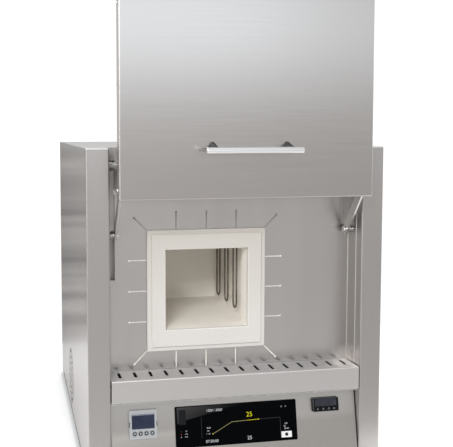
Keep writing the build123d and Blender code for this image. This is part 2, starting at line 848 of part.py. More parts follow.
# Power controller: a semiconductor module on a finned heat sink
with BuildPart() as power_controller:
    sink_x = (controller_x - controller_width / 2, controller_x + controller_width / 2)
    sink_depth = (controller_depth, controller_depth + controller_length)
    fin_top = base_top + controller_height
    block(sink_x, sink_depth, (fin_top - controller_base, fin_top))
    fin_step = (controller_width - fin_thickness) / (fin_count - 1)
    for number in range(fin_count):
        fin = sink_x[0] + number * fin_step
        block((fin, fin + fin_thickness), sink_depth, (base_top, fin_top - controller_base))
    module_x = (sink_x[0] + controller_width / 4, sink_x[1] - controller_width / 4)
    module_depth = (sink_depth[0] + controller_length / 4, sink_depth[1] - controller_length / 4)
    block(module_x, module_depth, (fin_top, fin_top + module_height))
save(power_controller, "power_controller")

# Terminal block for the mains
with BuildPart() as terminal_block:
    terminal_span = (terminal_x - terminal_width / 2, terminal_x + terminal_width / 2)
    terminal_z = (base_top, base_top + terminal_height)
    block(terminal_span, (terminal_depth, terminal_depth + terminal_length), terminal_z)
    with BuildSketch(Plane.XY.offset(terminal_z[1])):
        with Locations((terminal_x, back(terminal_depth + terminal_length / 2))):
            with GridLocations(terminal_width / 6, terminal_length / 2, 5, 2):
                Circle(terminal_hole_radius)
    extrude(amount=-terminal_hole_depth, mode=Mode.SUBTRACT)
save(terminal_block, "terminal_block")

# Mains gland: a bushed inlet with a lock ring inside the case
with BuildPart() as mains_gland:
    long_rod(gland_x, (case_depth, case_depth + gland_reach), gland_z, gland_radius)
    with BuildSketch(front_plane(case_depth + gland_reach * 0.55)):
        with Locations((gland_x, gland_z)):
            RegularPolygon(gland_radius + 2.5, 6)
    extrude(amount=gland_reach * 0.5)
    long_rod(gland_x, (case_depth - 8, case_depth), gland_z, gland_radius - sheet - running_gap)
    long_rod(gland_x, (case_depth - sheet - 5, case_depth - sheet), gland_z, gland_radius + 2)
    long_rod(gland_x, (case_depth - 8, case_depth + gland_reach), gland_z, gland_bore, Mode.SUBTRACT)
save(mains_gland, "mains_gland")

# Mains switch: a frame clipped into the rear panel, and its rocker on a cross pin
rocker_width = switch_width - 4 * switch_rim - 2 * rocker_clearance
rocker_height = switch_height - 4 * switch_rim - 2 * rocker_clearance
well_depth = 12.0
rocker_pivot_depth = case_depth - 1.0
with BuildPart() as mains_switch_frame:
    outer = (switch_x - switch_width / 2, switch_x + switch_width / 2)
    tall = (switch_z - switch_height / 2, switch_z + switch_height / 2)
    block(outer, (case_depth, case_depth + switch_rim), tall)
    inset = switch_rim + running_gap
    body_x = (outer[0] + inset, outer[1] - inset)
    body_z = (tall[0] + inset, tall[1] - inset)
    block(body_x, (case_depth - switch_body_depth, case_depth), body_z)
    well_x = (outer[0] + 2 * switch_rim, outer[1] - 2 * switch_rim)
    well_z = (tall[0] + 2 * switch_rim, tall[1] - 2 * switch_rim)
    block(well_x, (case_depth - well_depth, case_depth + switch_rim), well_z, Mode.SUBTRACT)
    cross_rod(well_x, rocker_pivot_depth, switch_z, rocker_pin_radius)
save(mains_switch_frame, "mains_switch_frame")

with BuildPart() as mains_rocker:
    tilt = rocker_angle * pi / 180
    rocker_origin = (switch_x - rocker_width / 2, back(rocker_pivot_depth), switch_z)
    with BuildSketch(Plane(origin=rocker_origin, x_dir=(0, cos(tilt), sin(tilt)), z_dir=(1, 0, 0))):
        half = rocker_height / 2
        with BuildLine():
            Polyline(
                (-3.2, -half * 0.45),
                (4.6, -half * 0.94),
                (3.2, 0),
                (4.6, half * 0.94),
                (-3.2, half * 0.45),
                close=True,
            )
        make_face()
        Circle(rocker_pin_radius + pin_clearance, mode=Mode.SUBTRACT)
    extrude(amount=rocker_width)
save(mains_rocker, "mains_rocker")

# Cooling fan: square frame with a motor on four struts, a bladed rotor and a ring guard outside
fan_rear = case_depth - sheet
fan_front = fan_rear - fan_thickness
motor_front = fan_rear - fan_motor_height
with BuildPart() as fan_housing:
    with BuildSketch(front_plane(fan_front)):
        with Locations((fan_x, fan_z)):
            RectangleRounded(fan_size, fan_size, fan_corner)
            Circle(fan_bore_radius, mode=Mode.SUBTRACT)
            screw_span = fan_size - 2 * fan_screw_inset
            with GridLocations(screw_span, screw_span, 2, 2):
                Circle(fan_screw_radius, mode=Mode.SUBTRACT)
    extrude(amount=-fan_thickness)
    with BuildSketch(front_plane(motor_front)):
        with Locations((fan_x, fan_z)):
            Circle(fan_hub_radius)
            Rectangle(2 * fan_bore_radius + sheet, fan_strut)
            Rectangle(fan_strut, 2 * fan_bore_radius + sheet)
    extrude(amount=-fan_motor_height)
    spindle = (motor_front - fan_rotor_depth + fan_spindle_radius, motor_front)
    long_rod(fan_x, spindle, fan_z, fan_spindle_radius)
save(fan_housing, "fan_housing")

with BuildPart() as fan_rotor:
    rotor_rear = motor_front - fan_rotor_gap
    rotor_front = rotor_rear - fan_rotor_depth
    long_rod(fan_x, (rotor_front, rotor_rear), fan_z, fan_hub_radius)
    root_radius = fan_hub_radius - fan_spindle_radius
    for number in range(fan_blades):
        turn = number * 2 * pi / fan_blades
        root_x = fan_x + root_radius * cos(turn)
        root = (root_x, back(rotor_front + fan_rotor_depth / 2), fan_z + root_radius * sin(turn))
        chord = (-sin(turn) * cos(blade_pitch), -sin(blade_pitch), cos(turn) * cos(blade_pitch))
        with BuildSketch(Plane(origin=root, x_dir=chord, z_dir=(cos(turn), 0, sin(turn)))):
            Rectangle(fan_blade_chord, fan_blade_thickness)
        extrude(amount=fan_blade_radius - root_radius)
    socket = (rotor_front + fan_spindle_radius, rotor_rear)
    long_rod(fan_x, socket, fan_z, fan_spindle_radius + pin_clearance, Mode.SUBTRACT)
save(fan_rotor, "fan_rotor")

with BuildPart() as fan_guard:
    with BuildSketch(front_plane(case_depth)):
        with Locations((fan_x, fan_z)):
            for number in range(1, guard_rings + 1):
                ring_radius = number * fan_bore_radius / guard_rings
                Circle(ring_radius)
                Circle(ring_radius - guard_ring_width, mode=Mode.SUBTRACT)
            for turn in (45, 135):
                Rectangle(2 * (fan_bore_radius + guard_bar_reach), guard_bar, rotation=turn)
            lug_span = fan_size - 2 * guard_lug_radius
            with GridLocations(lug_span, lug_span, 2, 2):
                Circle(guard_lug_radius)
    extrude(amount=-guard_thickness)
save(fan_guard, "fan_guard")

# Case side of the linkage: brackets in the recess corners, spacer bushes and pins
with BuildPart() as pivot_brackets:
    bracket_ends = bush_radius + bracket_end_gap
    bracket_z = (pivot_heights[0] + bracket_ends, pivot_heights[1] - bracket_ends)
    bracket_x = (arm_outer_x + 2 * bracket_clearance, recess_half)
    block(bracket_x, (bracket_front_depth, bracket_front_depth + sheet), bracket_z)
    block((bracket_x[0], bracket_x[0] + sheet), (bracket_front_depth, recess_depth), bracket_z)
    block((bracket_x[1] - sheet, bracket_x[1]), (bracket_front_depth, recess_depth), bracket_z)
    mirror(about=Plane.YZ)
save(pivot_brackets, "pivot_brackets")

with BuildPart() as case_pivot_bushes:
    for pivot_z, inner_x in zip(pivot_heights, (arm_inner_x, upper_arm_inner_x)):
        bush_start = inner_x + arm_thickness + running_gap
        cross_rod((bush_start, recess_half), case_pivot_depth, pivot_z, bush_radius)
        bore = pin_radius + running_gap
        cross_rod((bush_start, recess_half), case_pivot_depth, pivot_z, bore, Mode.SUBTRACT)
    mirror(about=Plane.YZ)
save(case_pivot_bushes, "case_pivot_bushes")

with BuildPart() as case_pivot_pins:
    nut = (recess_half + sheet, recess_half + sheet + nut_height)
    for pivot_z, inner_x in zip(pivot_heights, (arm_inner_x, upper_arm_inner_x)):
        head = (inner_x - running_gap - pin_head, inner_x - running_gap)
        cross_rod(head, case_pivot_depth, pivot_z, pin_head_radius)
        cross_rod((head[0], nut[1]), case_pivot_depth, pivot_z, pin_radius)
        cross_rod(nut, case_pivot_depth, pivot_z, nut_radius)
    mirror(about=Plane.YZ)
save(case_pivot_pins, "case_pivot_pins")


def arm(pivot_z, inner_x, door_hole_clearance):
    """The right-hand arm, drawn with the door open, from the case pivot over the knee."""
    case_end = (back(case_pivot_depth), pivot_z)
    door_end = (back(case_pivot_depth - arm_reach_open), pivot_z + arm_rise_open)
    knee = (door_end[0], pivot_z + knee_rise)
    with BuildSketch(side_plane(inner_x)) as outline:
        for start, end in ((case_end, knee), (knee, door_end)):
            span = hypot(end[0] - start[0], end[1] - start[1])
            turn = degrees(atan2(end[1] - start[1], end[0] - start[0]))
            middle = ((start[0] + end[0]) / 2, (start[1] + end[1]) / 2)
            with Locations(middle):
                SlotCenterToCenter(span, 2 * arm_half_width, rotation=turn)
        with Locations(case_end):
            Circle(pin_radius + pin_clearance, mode=Mode.SUBTRACT)
        with Locations(door_end):
            Circle(pin_radius + door_hole_clearance, mode=Mode.SUBTRACT)
    extrude(outline.sketch, amount=arm_thickness)


with BuildPart() as lower_arms:
    arm(pivot_heights[0], arm_inner_x, pin_clearance)
    mirror(about=Plane.YZ)
save(lower_arms, "lower_arms")

with BuildPart() as upper_arms:
    arm(pivot_heights[1], upper_arm_inner_x, open_pivot_clearance)
    mirror(about=Plane.YZ)
save(upper_arms, "upper_arms")

# Door pan: front sheet with flanges all round, the bottom one shallower so that the arms pass
door_half = door_width / 2
door_top = door_bottom + door_height
door_rear = door_front + door_depth
with BuildPart() as door_panel:
    block((-door_half, door_half), (door_front, door_rear), (door_bottom, door_top))
    inner_x = (-door_half + door_skin, door_half - door_skin)
    inner_z = (door_bottom + door_skin, door_top - door_skin)
    block(inner_x, (door_front + door_skin, door_rear), inner_z, Mode.SUBTRACT)
    low_z = (door_bottom, door_bottom + door_skin)
    block(inner_x, (door_front + bottom_flange_depth, door_rear), low_z, Mode.SUBTRACT)
    fillet(faces().sort_by(Axis.Y)[0].edges(), fold_radius)
save(door_panel, "door_panel")

# Inner tray of the door, narrower than the pan, so that the arms lie in the channels beside it
tray_half = tray_width / 2
tray_rear = door_front + tray_depth
tray_z = (door_bottom + tray_margin, door_top - tray_margin)
with BuildPart() as door_inner_cover:
    block((-tray_half, tray_half), (door_front + door_skin, tray_rear), tray_z)
    fill_x = (-tray_half + sheet, tray_half - sheet)
    fill_z = (tray_z[0] + sheet, tray_z[1] - sheet)
    block(fill_x, (door_front + door_skin, tray_rear - sheet), fill_z, Mode.SUBTRACT)
save(door_inner_cover, "door_inner_cover")

with BuildPart() as door_insulation:
    block(fill_x, (door_front + door_skin, tray_rear - sheet), fill_z)
save(door_insulation, "door_insulation")

# Plug of the door: a fibre block that meets the collar, with a tapered tip that enters the neck
plug_z = collar_centre_z + door_lift
plug_half = plug_size / 2
plug_rear = tray_rear + plug_thickness
tip_width = neck_width - 2 * plug_tip_clearance
tip_height = neck_height - 2 * plug_tip_clearance
tip_z = sill_height + neck_height / 2 + door_lift
with BuildPart() as door_plug:
    plug_x = (chamber_x - plug_half, chamber_x + plug_half)
    block(plug_x, (tray_rear, plug_rear), (plug_z - plug_half, plug_z + plug_half))
    with BuildSketch(front_plane(plug_rear)):
        with Locations((chamber_x, tip_z)):
            Rectangle(tip_width, tip_height)
    with BuildSketch(front_plane(plug_rear + plug_tip_depth)):
        with Locations((chamber_x, tip_z)):
            Rectangle(tip_width - 2 * plug_tip_draft, tip_height - 2 * plug_tip_draft)
    loft()
save(door_plug, "door_plug")

# Steel frame that holds the plug to the tray
frame_half = plug_half + sheet
with BuildPart() as plug_frame:
    frame_depth = (tray_rear, tray_rear + plug_frame_depth)
    outer_x = (chamber_x - frame_half, chamber_x + frame_half)
    block(outer_x, frame_depth, (plug_z - frame_half, plug_z + frame_half))
    block(plug_x, frame_depth, (plug_z - plug_half, plug_z + plug_half), Mode.SUBTRACT)
save(plug_frame, "plug_frame")

# Pins between the tray and the flange of the pan, which the arms turn on
with BuildPart() as door_pivot_pins:
    pin_depth = door_front + door_pivot_depth
    for pivot_z, inner_x in zip(pivot_heights, (arm_inner_x, upper_arm_inner_x)):
        pin_z = pivot_z + arm_rise_open
        cross_rod((tray_half, inner_x - running_gap), pin_depth, pin_z, door_spacer_radius)
        cross_rod((tray_half, door_half - door_skin), pin_depth, pin_z, pin_radius)
    mirror(about=Plane.YZ)
save(door_pivot_pins, "door_pivot_pins")

# Handle: a round bar under two short posts
bar_depth = door_front - handle_reach
bar_z = door_bottom + handle_height
with BuildPart() as handle_bar:
    cross_rod((-handle_length / 2, handle_length / 2), bar_depth, bar_z, handle_radius)
    fillet(handle_bar.edges().filter_by(GeomType.CIRCLE), 1.0)
save(handle_bar, "handle_bar")

post_half = handle_post_spacing / 2
post_length = hypot(handle_reach, handle_post_rise)
with BuildPart() as handle_posts:
    for x in (-post_half, post_half):
        direction = (0, -handle_reach, -handle_post_rise)
        foot = (x, back(door_front), bar_z + handle_post_rise)
        with BuildSketch(Plane(origin=foot, x_dir=(1, 0, 0), z_dir=direction)):
            Circle(handle_post_radius)
        extrude(amount=post_length - handle_radius / 2)
        foot_z = (bar_z, bar_z + 2 * handle_post_rise)
        block((x - 8, x + 8), (door_front, door_front + 8), foot_z, Mode.SUBTRACT)
        cross_rod((x - 8, x + 8), bar_depth, bar_z, handle_radius, Mode.SUBTRACT)
save(handle_posts, "handle_posts")

print("least gap of the door to the arms' flange", round(door_half - door_skin - arm_outer_x, 3))
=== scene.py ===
import math

import bmesh
import bpy
from mathutils import Matrix, Vector


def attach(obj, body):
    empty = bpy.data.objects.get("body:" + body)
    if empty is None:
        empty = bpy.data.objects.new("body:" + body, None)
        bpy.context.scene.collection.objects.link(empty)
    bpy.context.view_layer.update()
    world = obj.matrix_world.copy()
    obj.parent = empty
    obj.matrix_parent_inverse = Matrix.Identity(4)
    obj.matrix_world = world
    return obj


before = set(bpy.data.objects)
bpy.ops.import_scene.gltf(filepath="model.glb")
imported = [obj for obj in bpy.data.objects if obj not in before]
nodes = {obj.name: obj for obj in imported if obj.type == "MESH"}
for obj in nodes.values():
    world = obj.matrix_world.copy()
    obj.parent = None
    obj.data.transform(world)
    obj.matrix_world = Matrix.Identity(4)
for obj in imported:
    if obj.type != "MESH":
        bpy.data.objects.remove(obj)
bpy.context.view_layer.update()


# The place to stand: a camera at the height of the raised door's lower edge, turned a little to the
# right of the chamber, with the lens shifted so that the furnace fills the left of the picture.
# The angles are in degrees, the place is in metres, and the lens and its sensor in millimetres.
eye = (-0.3599, -1.4967, 0.5702)
yaw, pitch, roll = (math.radians(angle) for angle in (10.621, -4.228, -0.147))
ahead = Vector((math.sin(yaw) * math.cos(pitch), math.cos(yaw) * math.cos(pitch), math.sin(pitch)))
level = Vector((math.cos(yaw), -math.sin(yaw), 0))
upward = level.cross(ahead)
camera_right = level * math.cos(roll) + upward * math.sin(roll)
camera_up = upward * math.cos(roll) - level * math.sin(roll)
camera = bpy.data.objects.new("camera", bpy.data.cameras.new("camera"))
turn = Matrix((camera_right, camera_up, -ahead)).transposed().to_4x4()
camera.matrix_world = Matrix.Translation(eye) @ turn
camera.data.sensor_width = 36
camera.data.lens = 63.209
camera.data.shift_x = 0.15
camera.data.shift_y = -0.08
bpy.context.collection.objects.link(camera)
bpy.context.scene.camera = camera
bpy.context.scene.view_settings.view_transform = "Standard"


# The studio: a white room. In front of the furnace it grows brighter above eye height, which
# whitens the upper part of the door, and behind it a grey screen on the left shades the side panel.
world = bpy.data.worlds.new("white_room")
bpy.context.scene.world = world
world.use_nodes = True
room = world.node_tree
room_strength = 3.0


def add_node(tree, kind, inputs, **settings):
    """A new node with its settings, whose inputs take numbers or the outputs of other nodes."""
    node = tree.nodes.new(kind)
    for setting, value in settings.items():
        setattr(node, setting, value)
    for socket, value in inputs.items():
        if isinstance(value, bpy.types.NodeSocket):
            tree.links.new(value, node.inputs[socket])
        else:
            node.inputs[socket].default_value = value
    return node


def axes_of(tree, coordinates):
    """X, Y and Z of one kind of texture coordinates."""
    place = add_node(tree, "ShaderNodeTexCoord", {}).outputs[coordinates]
    return add_node(tree, "ShaderNodeSeparateXYZ", {"Vector": place}).outputs


def span(tree, value, low, high, start=0.0, end=1.0):
    """A value that runs from start to end while another one runs from low to high."""
    limits = {"From Min": low, "From Max": high, "To Min": start, "To Max": end}
    return add_node(tree, "ShaderNodeMapRange", {"Value": value, **limits}).outputs["Result"]


def blend(tree, kind, factor, first, second):
    """Two colours, mixed or multiplied to the share that the factor gives."""
    inputs = {"Factor": factor, "A": first, "B": second}
    mixer = add_node(tree, "ShaderNodeMix", inputs, data_type="RGBA", blend_type=kind)
    return mixer.outputs["Result"]


def room_ramp(axis, stops):
    """Brightness of the room along one axis, from stops of direction, brightness and warmth."""
    ramp = add_node(room, "ShaderNodeValToRGB", {"Fac": span(room, room_axes[axis], -1.0, 1.0)})
    ramp.color_ramp.interpolation = "EASE"
    while len(ramp.color_ramp.elements) < len(stops):
        ramp.color_ramp.elements.new(0.5)
    for stop, (where, brightness, warmth) in zip(ramp.color_ramp.elements, stops):
        green = brightness / room_strength
        stop.position = (where + 1) / 2
        stop.color = (green * (1 + warmth), green, green * (1 - warmth), 1)
    return ramp.outputs["Color"]


room_axes = axes_of(room, "Generated")
front_room = room_ramp("Z", ((-0.45, 0.92, 0), (-0.24, 0.60, 0.018), (0.01, 0.575, 0.024),
                             (0.12, 2.05, -0.070), (0.145, 2.05, -0.080), (0.25, 0.90, -0.03)))
front_fall = room_ramp("X", ((0.05, 3.0, 0), (0.55, 2.4, 0)))
high_fall = room_ramp("X", ((-0.06, 3.0, 0), (0.08, 1.9, 0), (0.20, 2.65, 0), (0.29, 3.0, 0),
                            (0.35, 2.5, 0.01), (0.43, 1.5, 0.04), (0.70, 3.0, 0)))
back_room = room_ramp("Z", ((-0.2, 1.05, 0), (0.3, 1.25, 0)))
left_shade = room_ramp("X", ((-0.30, 1.25, 0.012), (-0.05, 1.95, 0.012), (-0.02, 3.0, 0)))
high_share = span(room, room_axes["Z"], 0.0, 0.12)
back_share = span(room, room_axes["Y"], -0.25, 0.25)
front_half = blend(room, "MULTIPLY", 1.0, front_room, front_fall)
front_half = blend(room, "MULTIPLY", high_share, front_half, high_fall)
back_half = blend(room, "MULTIPLY", 1.0, back_room, left_shade)
background = room.nodes["Background"]
room.links.new(blend(room, "MIX", back_share, front_half, back_half), background.inputs["Color"])
background.inputs["Strength"].default_value = room_strength


# The lamps: two softboxes, which light the collar and the left side, and a wide one overhead,
# which the sheets don't mirror, since the room itself is what shows in them.
def softbox(name, place, aim, size, power, mirrored=True):
    """A rectangular studio light at a place, turned towards the point it lights."""
    light = bpy.data.lights.new(name, "AREA")
    light.shape = "RECTANGLE"
    light.size, light.size_y = size
    light.energy = power
    lamp = bpy.data.objects.new(name, light)
    lamp.location = place
    lamp.visible_glossy = mirrored
    lamp.rotation_euler = (Vector(aim) - Vector(place)).to_track_quat("-Z", "Y").to_euler()
    bpy.context.collection.objects.link(lamp)


softbox("left_front_light", (-1.15, -2.7, 1.75), (-0.04, -0.1, 0.3), (0.8, 0.8), 54)
softbox("left_strip", (-2.4, -0.55, 0.6), (-0.24, -0.28, 0.5), (0.5, 1.8), 8)
softbox("overhead_light", (0.1, 0.25, 2.7), (0.1, 0.25, 0), (2.6, 2.6), 48, False)


# The bench top: a matt white sheet under the feet, with a soft contact shadow painted into it
# close beside and behind the case. It is part of the stage, not of the furnace.
def new_finish(name, colour, roughness, metallic=0.0, shine=0.5):
    """A material with plain sockets set, ready for its pattern."""
    material = bpy.data.materials.new(name)
    material.use_nodes = True
    sockets = material.node_tree.nodes["Principled BSDF"].inputs
    sockets["Base Color"].default_value = (*colour, 1)
    sockets["Roughness"].default_value = roughness
    sockets["Metallic"].default_value = metallic
    sockets["Specular IOR Level"].default_value = shine
    return material


def feed(material, socket, value):
    """Feeds one socket of a material's shader with the output of a node."""
    tree = material.node_tree
    tree.links.new(value, tree.nodes["Principled BSDF"].inputs[socket])


def calculate(tree, operation, first, second=0.0):
    """A value worked out from one or two others."""
    inputs = {0: first, 1: second}
    return add_node(tree, "ShaderNodeMath", inputs, operation=operation).outputs["Value"]


bench_white = (0.95, 0.95, 0.95)
bench_shadow = (0.66, 0.66, 0.66)
bench_left, bench_right, bench_front, bench_back = -1.0, 1.4, -0.42, 0.6
bench_material = new_finish("white_bench", bench_white, 0.75)
bench_tree = bench_material.node_tree
bench_cloud = add_node(bench_tree, "ShaderNodeTexNoise", {}).outputs["Fac"]
feed(bench_material, "Roughness", span(bench_tree, bench_cloud, 0.0, 1.0, 0.7, 0.8))
bench_axes = axes_of(bench_tree, "Object")
contact = 1.0
for axis, light_edge, dark_edge in (("X", -0.2525, -0.2465), ("X", 0.255, 0.245),
                                    ("Y", 0.360, 0.345)):
    beside = span(bench_tree, bench_axes[axis], light_edge, dark_edge)
    contact = calculate(bench_tree, "MULTIPLY", contact, beside)
feed(bench_material, "Base Color",
     blend(bench_tree, "MIX", contact, (*bench_white, 1), (*bench_shadow, 1)))
bench_corners = [(bench_left, bench_front, 0), (bench_right, bench_front, 0),
                 (bench_right, bench_back, 0), (bench_left, bench_back, 0)]
bench_mesh = bpy.data.meshes.new("bench")
bench_mesh.from_pydata(bench_corners, [], [(0, 1, 2, 3)])
bench_mesh.materials.append(bench_material)
bench = bpy.data.objects.new("bench", bench_mesh)
bpy.context.collection.objects.link(bench)


# Base plate, rear panel and stand: zinc-plated sheet with the soft flowery patches of the plating.
# The base lies between the side panels and carries everything, and the rear panel closes the case.
def pattern(material, waves, detail=3.0):
    """Noise that sticks to the piece, with its waves per metre as one number or as X, Y and Z."""
    tree = material.node_tree
    place = add_node(tree, "ShaderNodeTexCoord", {}).outputs["Object"]
    stretch = waves if isinstance(waves, tuple) else (waves, waves, waves)
    scaled = add_node(tree, "ShaderNodeMapping", {"Vector": place, "Scale": stretch})
    inputs = {"Vector": scaled.outputs["Vector"], "Scale": 1.0, "Detail": detail}
    return add_node(tree, "ShaderNodeTexNoise", inputs).outputs["Fac"]


def tint(material, fac, dark, light, low=0.35, high=0.65):
    """Lets a pattern move the base colour between two tones."""
    ramp = add_node(material.node_tree, "ShaderNodeValToRGB", {"Fac": fac})
    for stop, position, tone in zip(ramp.color_ramp.elements, (low, high), (dark, light)):
        stop.position = position
        stop.color = (*tone, 1)
    feed(material, "Base Color", ramp.outputs["Color"])


def vary_gloss(material, fac, smooth, rough):
    """Lets a pattern move the roughness between two values."""
    feed(material, "Roughness", span(material.node_tree, fac, 0.3, 0.7, smooth, rough))


def emboss(material, fac, depth, strength=0.5):
    """Lets a pattern stand out of the surface by a depth in metres."""
    inputs = {"Distance": depth, "Strength": strength, "Height": fac}
    bump = add_node(material.node_tree, "ShaderNodeBump", inputs)
    feed(material, "Normal", bump.outputs["Normal"])


def dress(material, *names):
    """Gives CAD pieces a material."""
    for name in names:
        for slot in nodes[name].material_slots:
            slot.material = material


zinc_plate = new_finish("zinc_plated_sheet", (0.52, 0.53, 0.54), 0.42, 0.9)
flowers = pattern(zinc_plate, 110, 1.5)
tint(zinc_plate, flowers, (0.47, 0.48, 0.49), (0.55, 0.56, 0.57))
vary_gloss(zinc_plate, flowers, 0.38, 0.48)
dress(zinc_plate, "base_plate", "chamber_stand", "rear_panel")


# Side panels: stainless sheet, ground up and down, and folded round into the pillars in front.
# Soft bands of painted reflection fan across the sheet's sheen, which is also painted dimmer toward
# the back. Painted shade darkens the edges of the punched holes, rings along them, the pressed ring
# round them and the foot of the sheet, and a painted highlight lightens the fold at the top front.
def ground_steel(name, tone, along, gloss=0.33, streak=0.006, metallic=1.0, depth=1.0):
    """Ground stainless sheet, with its grain along one of X, Y and Z and of a relative depth."""
    steel = new_finish(name, tone, gloss, metallic)
    steel.node_tree.nodes["Principled BSDF"].inputs["Anisotropic"].default_value = 0.45
    grain = pattern(steel, tuple(14.0 if axis == along else 1500.0 for axis in "XYZ"))
    dark = tuple(channel * (1 - streak) for channel in tone)
    light = tuple(min(1, channel * (1 + streak)) for channel in tone)
    tint(steel, grain, dark, light)
    vary_gloss(steel, grain, gloss - 0.02 * depth, gloss + 0.03 * depth)
    emboss(steel, grain, 0.000002, 0.08 * depth)
    return steel


def shade(material, factor):
    """Multiplies the pattern of a material's base colour by a value or a colour."""
    tree = material.node_tree
    before = tree.nodes["Principled BSDF"].inputs["Base Color"].links[0].from_socket
    feed(material, "Base Color", blend(tree, "MULTIPLY", 1.0, before, factor))


side_steel = ground_steel("upright_sheet", (0.52, 0.496, 0.481), "Z")
side_tree = side_steel.node_tree
side_axes = axes_of(side_tree, "Object")
side_x, side_y, side_z = (side_axes[axis] for axis in "XYZ")


def side_span(value, low, high, start, end):
    """One factor of the side sheet's pattern, from start to end."""
    return span(side_tree, value, low, high, start, end)


def side_product(first, second):
    """Two factors of the side sheet's pattern, multiplied."""
    return calculate(side_tree, "MULTIPLY", first, second)


def side_sum(*parts):
    """Parts of the side sheet's pattern, added up."""
    total = parts[0]
    for part in parts[1:]:
        total = calculate(side_tree, "ADD", total, part)
    return total


# The painted reflection bands fan out from a point in front of the case; the lowest fades out.
fan_height, fan_reach = 0.57, 1.5
fan = calculate(side_tree, "DIVIDE", calculate(side_tree, "SUBTRACT", fan_height, side_z),
                calculate(side_tree, "ADD", side_y, fan_reach))
bands = add_node(side_tree, "ShaderNodeTexNoise", {"Scale": 34.0, "Detail": 2.0, "W": fan},
                 noise_dimensions="1D").outputs["Fac"]
reflection_band_swing = side_product(side_span(bands, 0.32, 0.68, -0.38, 0.30),
                          side_span(fan, 0.235, 0.265, 1.0, 0.0))
painted_reflection_tint = side_sum(reflection_band_swing, side_span(side_y, -0.28, 0.345, 0.83, 0.57),
                      side_span(side_z, 0.04, 0.24, 0.05, 0.03))

# The vent: rings of holes round a point low on the sheet. Painted shade draws a dark ring along
# each circle of holes and a pressed ring outside them.
vent_y, vent_z = 0.066, 0.080
from_vent = add_node(side_tree, "ShaderNodeCombineXYZ",
                     {"Y": calculate(side_tree, "SUBTRACT", side_y, vent_y),
                      "Z": calculate(side_tree, "SUBTRACT", side_z, vent_z)}).outputs["Vector"]
vent_reach = add_node(side_tree, "ShaderNodeVectorMath", {0: from_vent},
                      operation="LENGTH").outputs["Value"]
half_pitch = 0.006
hole_circle = calculate(side_tree, "PINGPONG", vent_reach, half_pitch)
pressed_ring_shade = side_product(side_span(vent_reach, 0.0510, 0.0514, 0.0, 1.0),
                            side_span(vent_reach, 0.0532, 0.0536, -0.75, 0.0))
hole_ring_shade = side_product(side_span(hole_circle, 0.0020, 0.0026, -0.34, 0.0),
                          side_span(vent_reach, 0.0500, 0.0504, 1.0, 0.0))
on_left = side_span(side_x, -0.24, -0.23, 1.0, 0.0)
vent_ring_shade = side_product(side_sum(pressed_ring_shade, hole_ring_shade), on_left)

# The square of X tells the outer face, at 245 mm on either side, from the edges inside the sheet.
face_square = side_product(side_x, side_x)
inside_sheet = side_span(face_square, 0.06000, 0.06002, 1.0, 0.0)
on_face = side_span(face_square, 0.06001, 0.06002, 0.0, 1.0)
# Painted shade on the cut edges round the vent, a painted shadow along the foot of the outer face,
# and a painted highlight on the fold at the top front.
around_vent = side_product(side_span(side_y, -0.10, -0.09, 0.0, 1.0),
                           side_span(side_z, 0.13, 0.14, -0.93, 0.0))
hole_edge_shade = side_product(inside_sheet, around_vent)
foot_shadow = side_product(on_face, side_span(side_z, 0.0140, 0.0150, -0.8, 0.0))
fold_highlight = side_product(side_span(side_y, -0.2790, -0.2780, 1.0, 0.0),
                          side_span(side_z, 0.5380, 0.5388, 0.0, 1.0))
side_light_and_shade = side_sum(hole_edge_shade, vent_ring_shade, foot_shadow, fold_highlight, 1.0)
feed(side_steel, "Specular Tint", side_product(painted_reflection_tint, side_light_and_shade))
shade(side_steel, side_light_and_shade)
dress(side_steel, "left_side_panel", "right_side_panel")


# Top panel, shelf and control panel: the same sheet, ground across. The shelf is folded down into
# a lip, and the sloping panel is folded once, at its foot. A painted highlight lightens the front
# edge of the top and the front of the shelf's lip, most at the fold along its top, and painted
# shade darkens the shelf below its top face.
def paint_light_band(steel, axis, low, high, start, end, both_ends=False):
    """Multiplies a sheet's colour from one coordinate to another: a painted highlight or painted
    shade.
    """
    tree = steel.node_tree
    place = axes_of(tree, "Object")[axis]
    if both_ends:
        place = calculate(tree, "ABSOLUTE", place)
    shade(steel, span(tree, place, low, high, start, end))


top_steel = ground_steel("top_sheet", (0.46, 0.44, 0.43), "X")
top_sockets = top_steel.node_tree.nodes["Principled BSDF"].inputs
top_sockets["Specular Tint"].default_value = (0.72, 0.72, 0.72, 1)
paint_light_band(top_steel, "Y", -0.2790, -0.2775, 1.9, 1.0)
dress(top_steel, "top_panel")
shelf_steel = ground_steel("shelf_sheet", (0.55, 0.528, 0.515), "X", 0.36, metallic=0.8)
paint_light_band(shelf_steel, "Y", -0.2792, -0.2775, 1.28, 1.0)
paint_light_band(shelf_steel, "Z", 0.1710, 0.1717, 0.82, 1.0)
dress(shelf_steel, "vent_shelf")
panel_steel = ground_steel("panel_sheet", (0.441, 0.413, 0.384), "X", 0.32)
dress(panel_steel, "control_panel")


# Feet: four tapered feet of moulded rubber with a fine skin, fixed under the base plate. They
# keep the warm case clear of the bench and stop it from sliding.
rubber = new_finish("foot_rubber", (0.022, 0.022, 0.023), 0.78)
skin = pattern(rubber, 900)
vary_gloss(rubber, skin, 0.68, 0.86)
emboss(rubber, skin, 0.0002, 0.4)
dress(rubber, "feet")


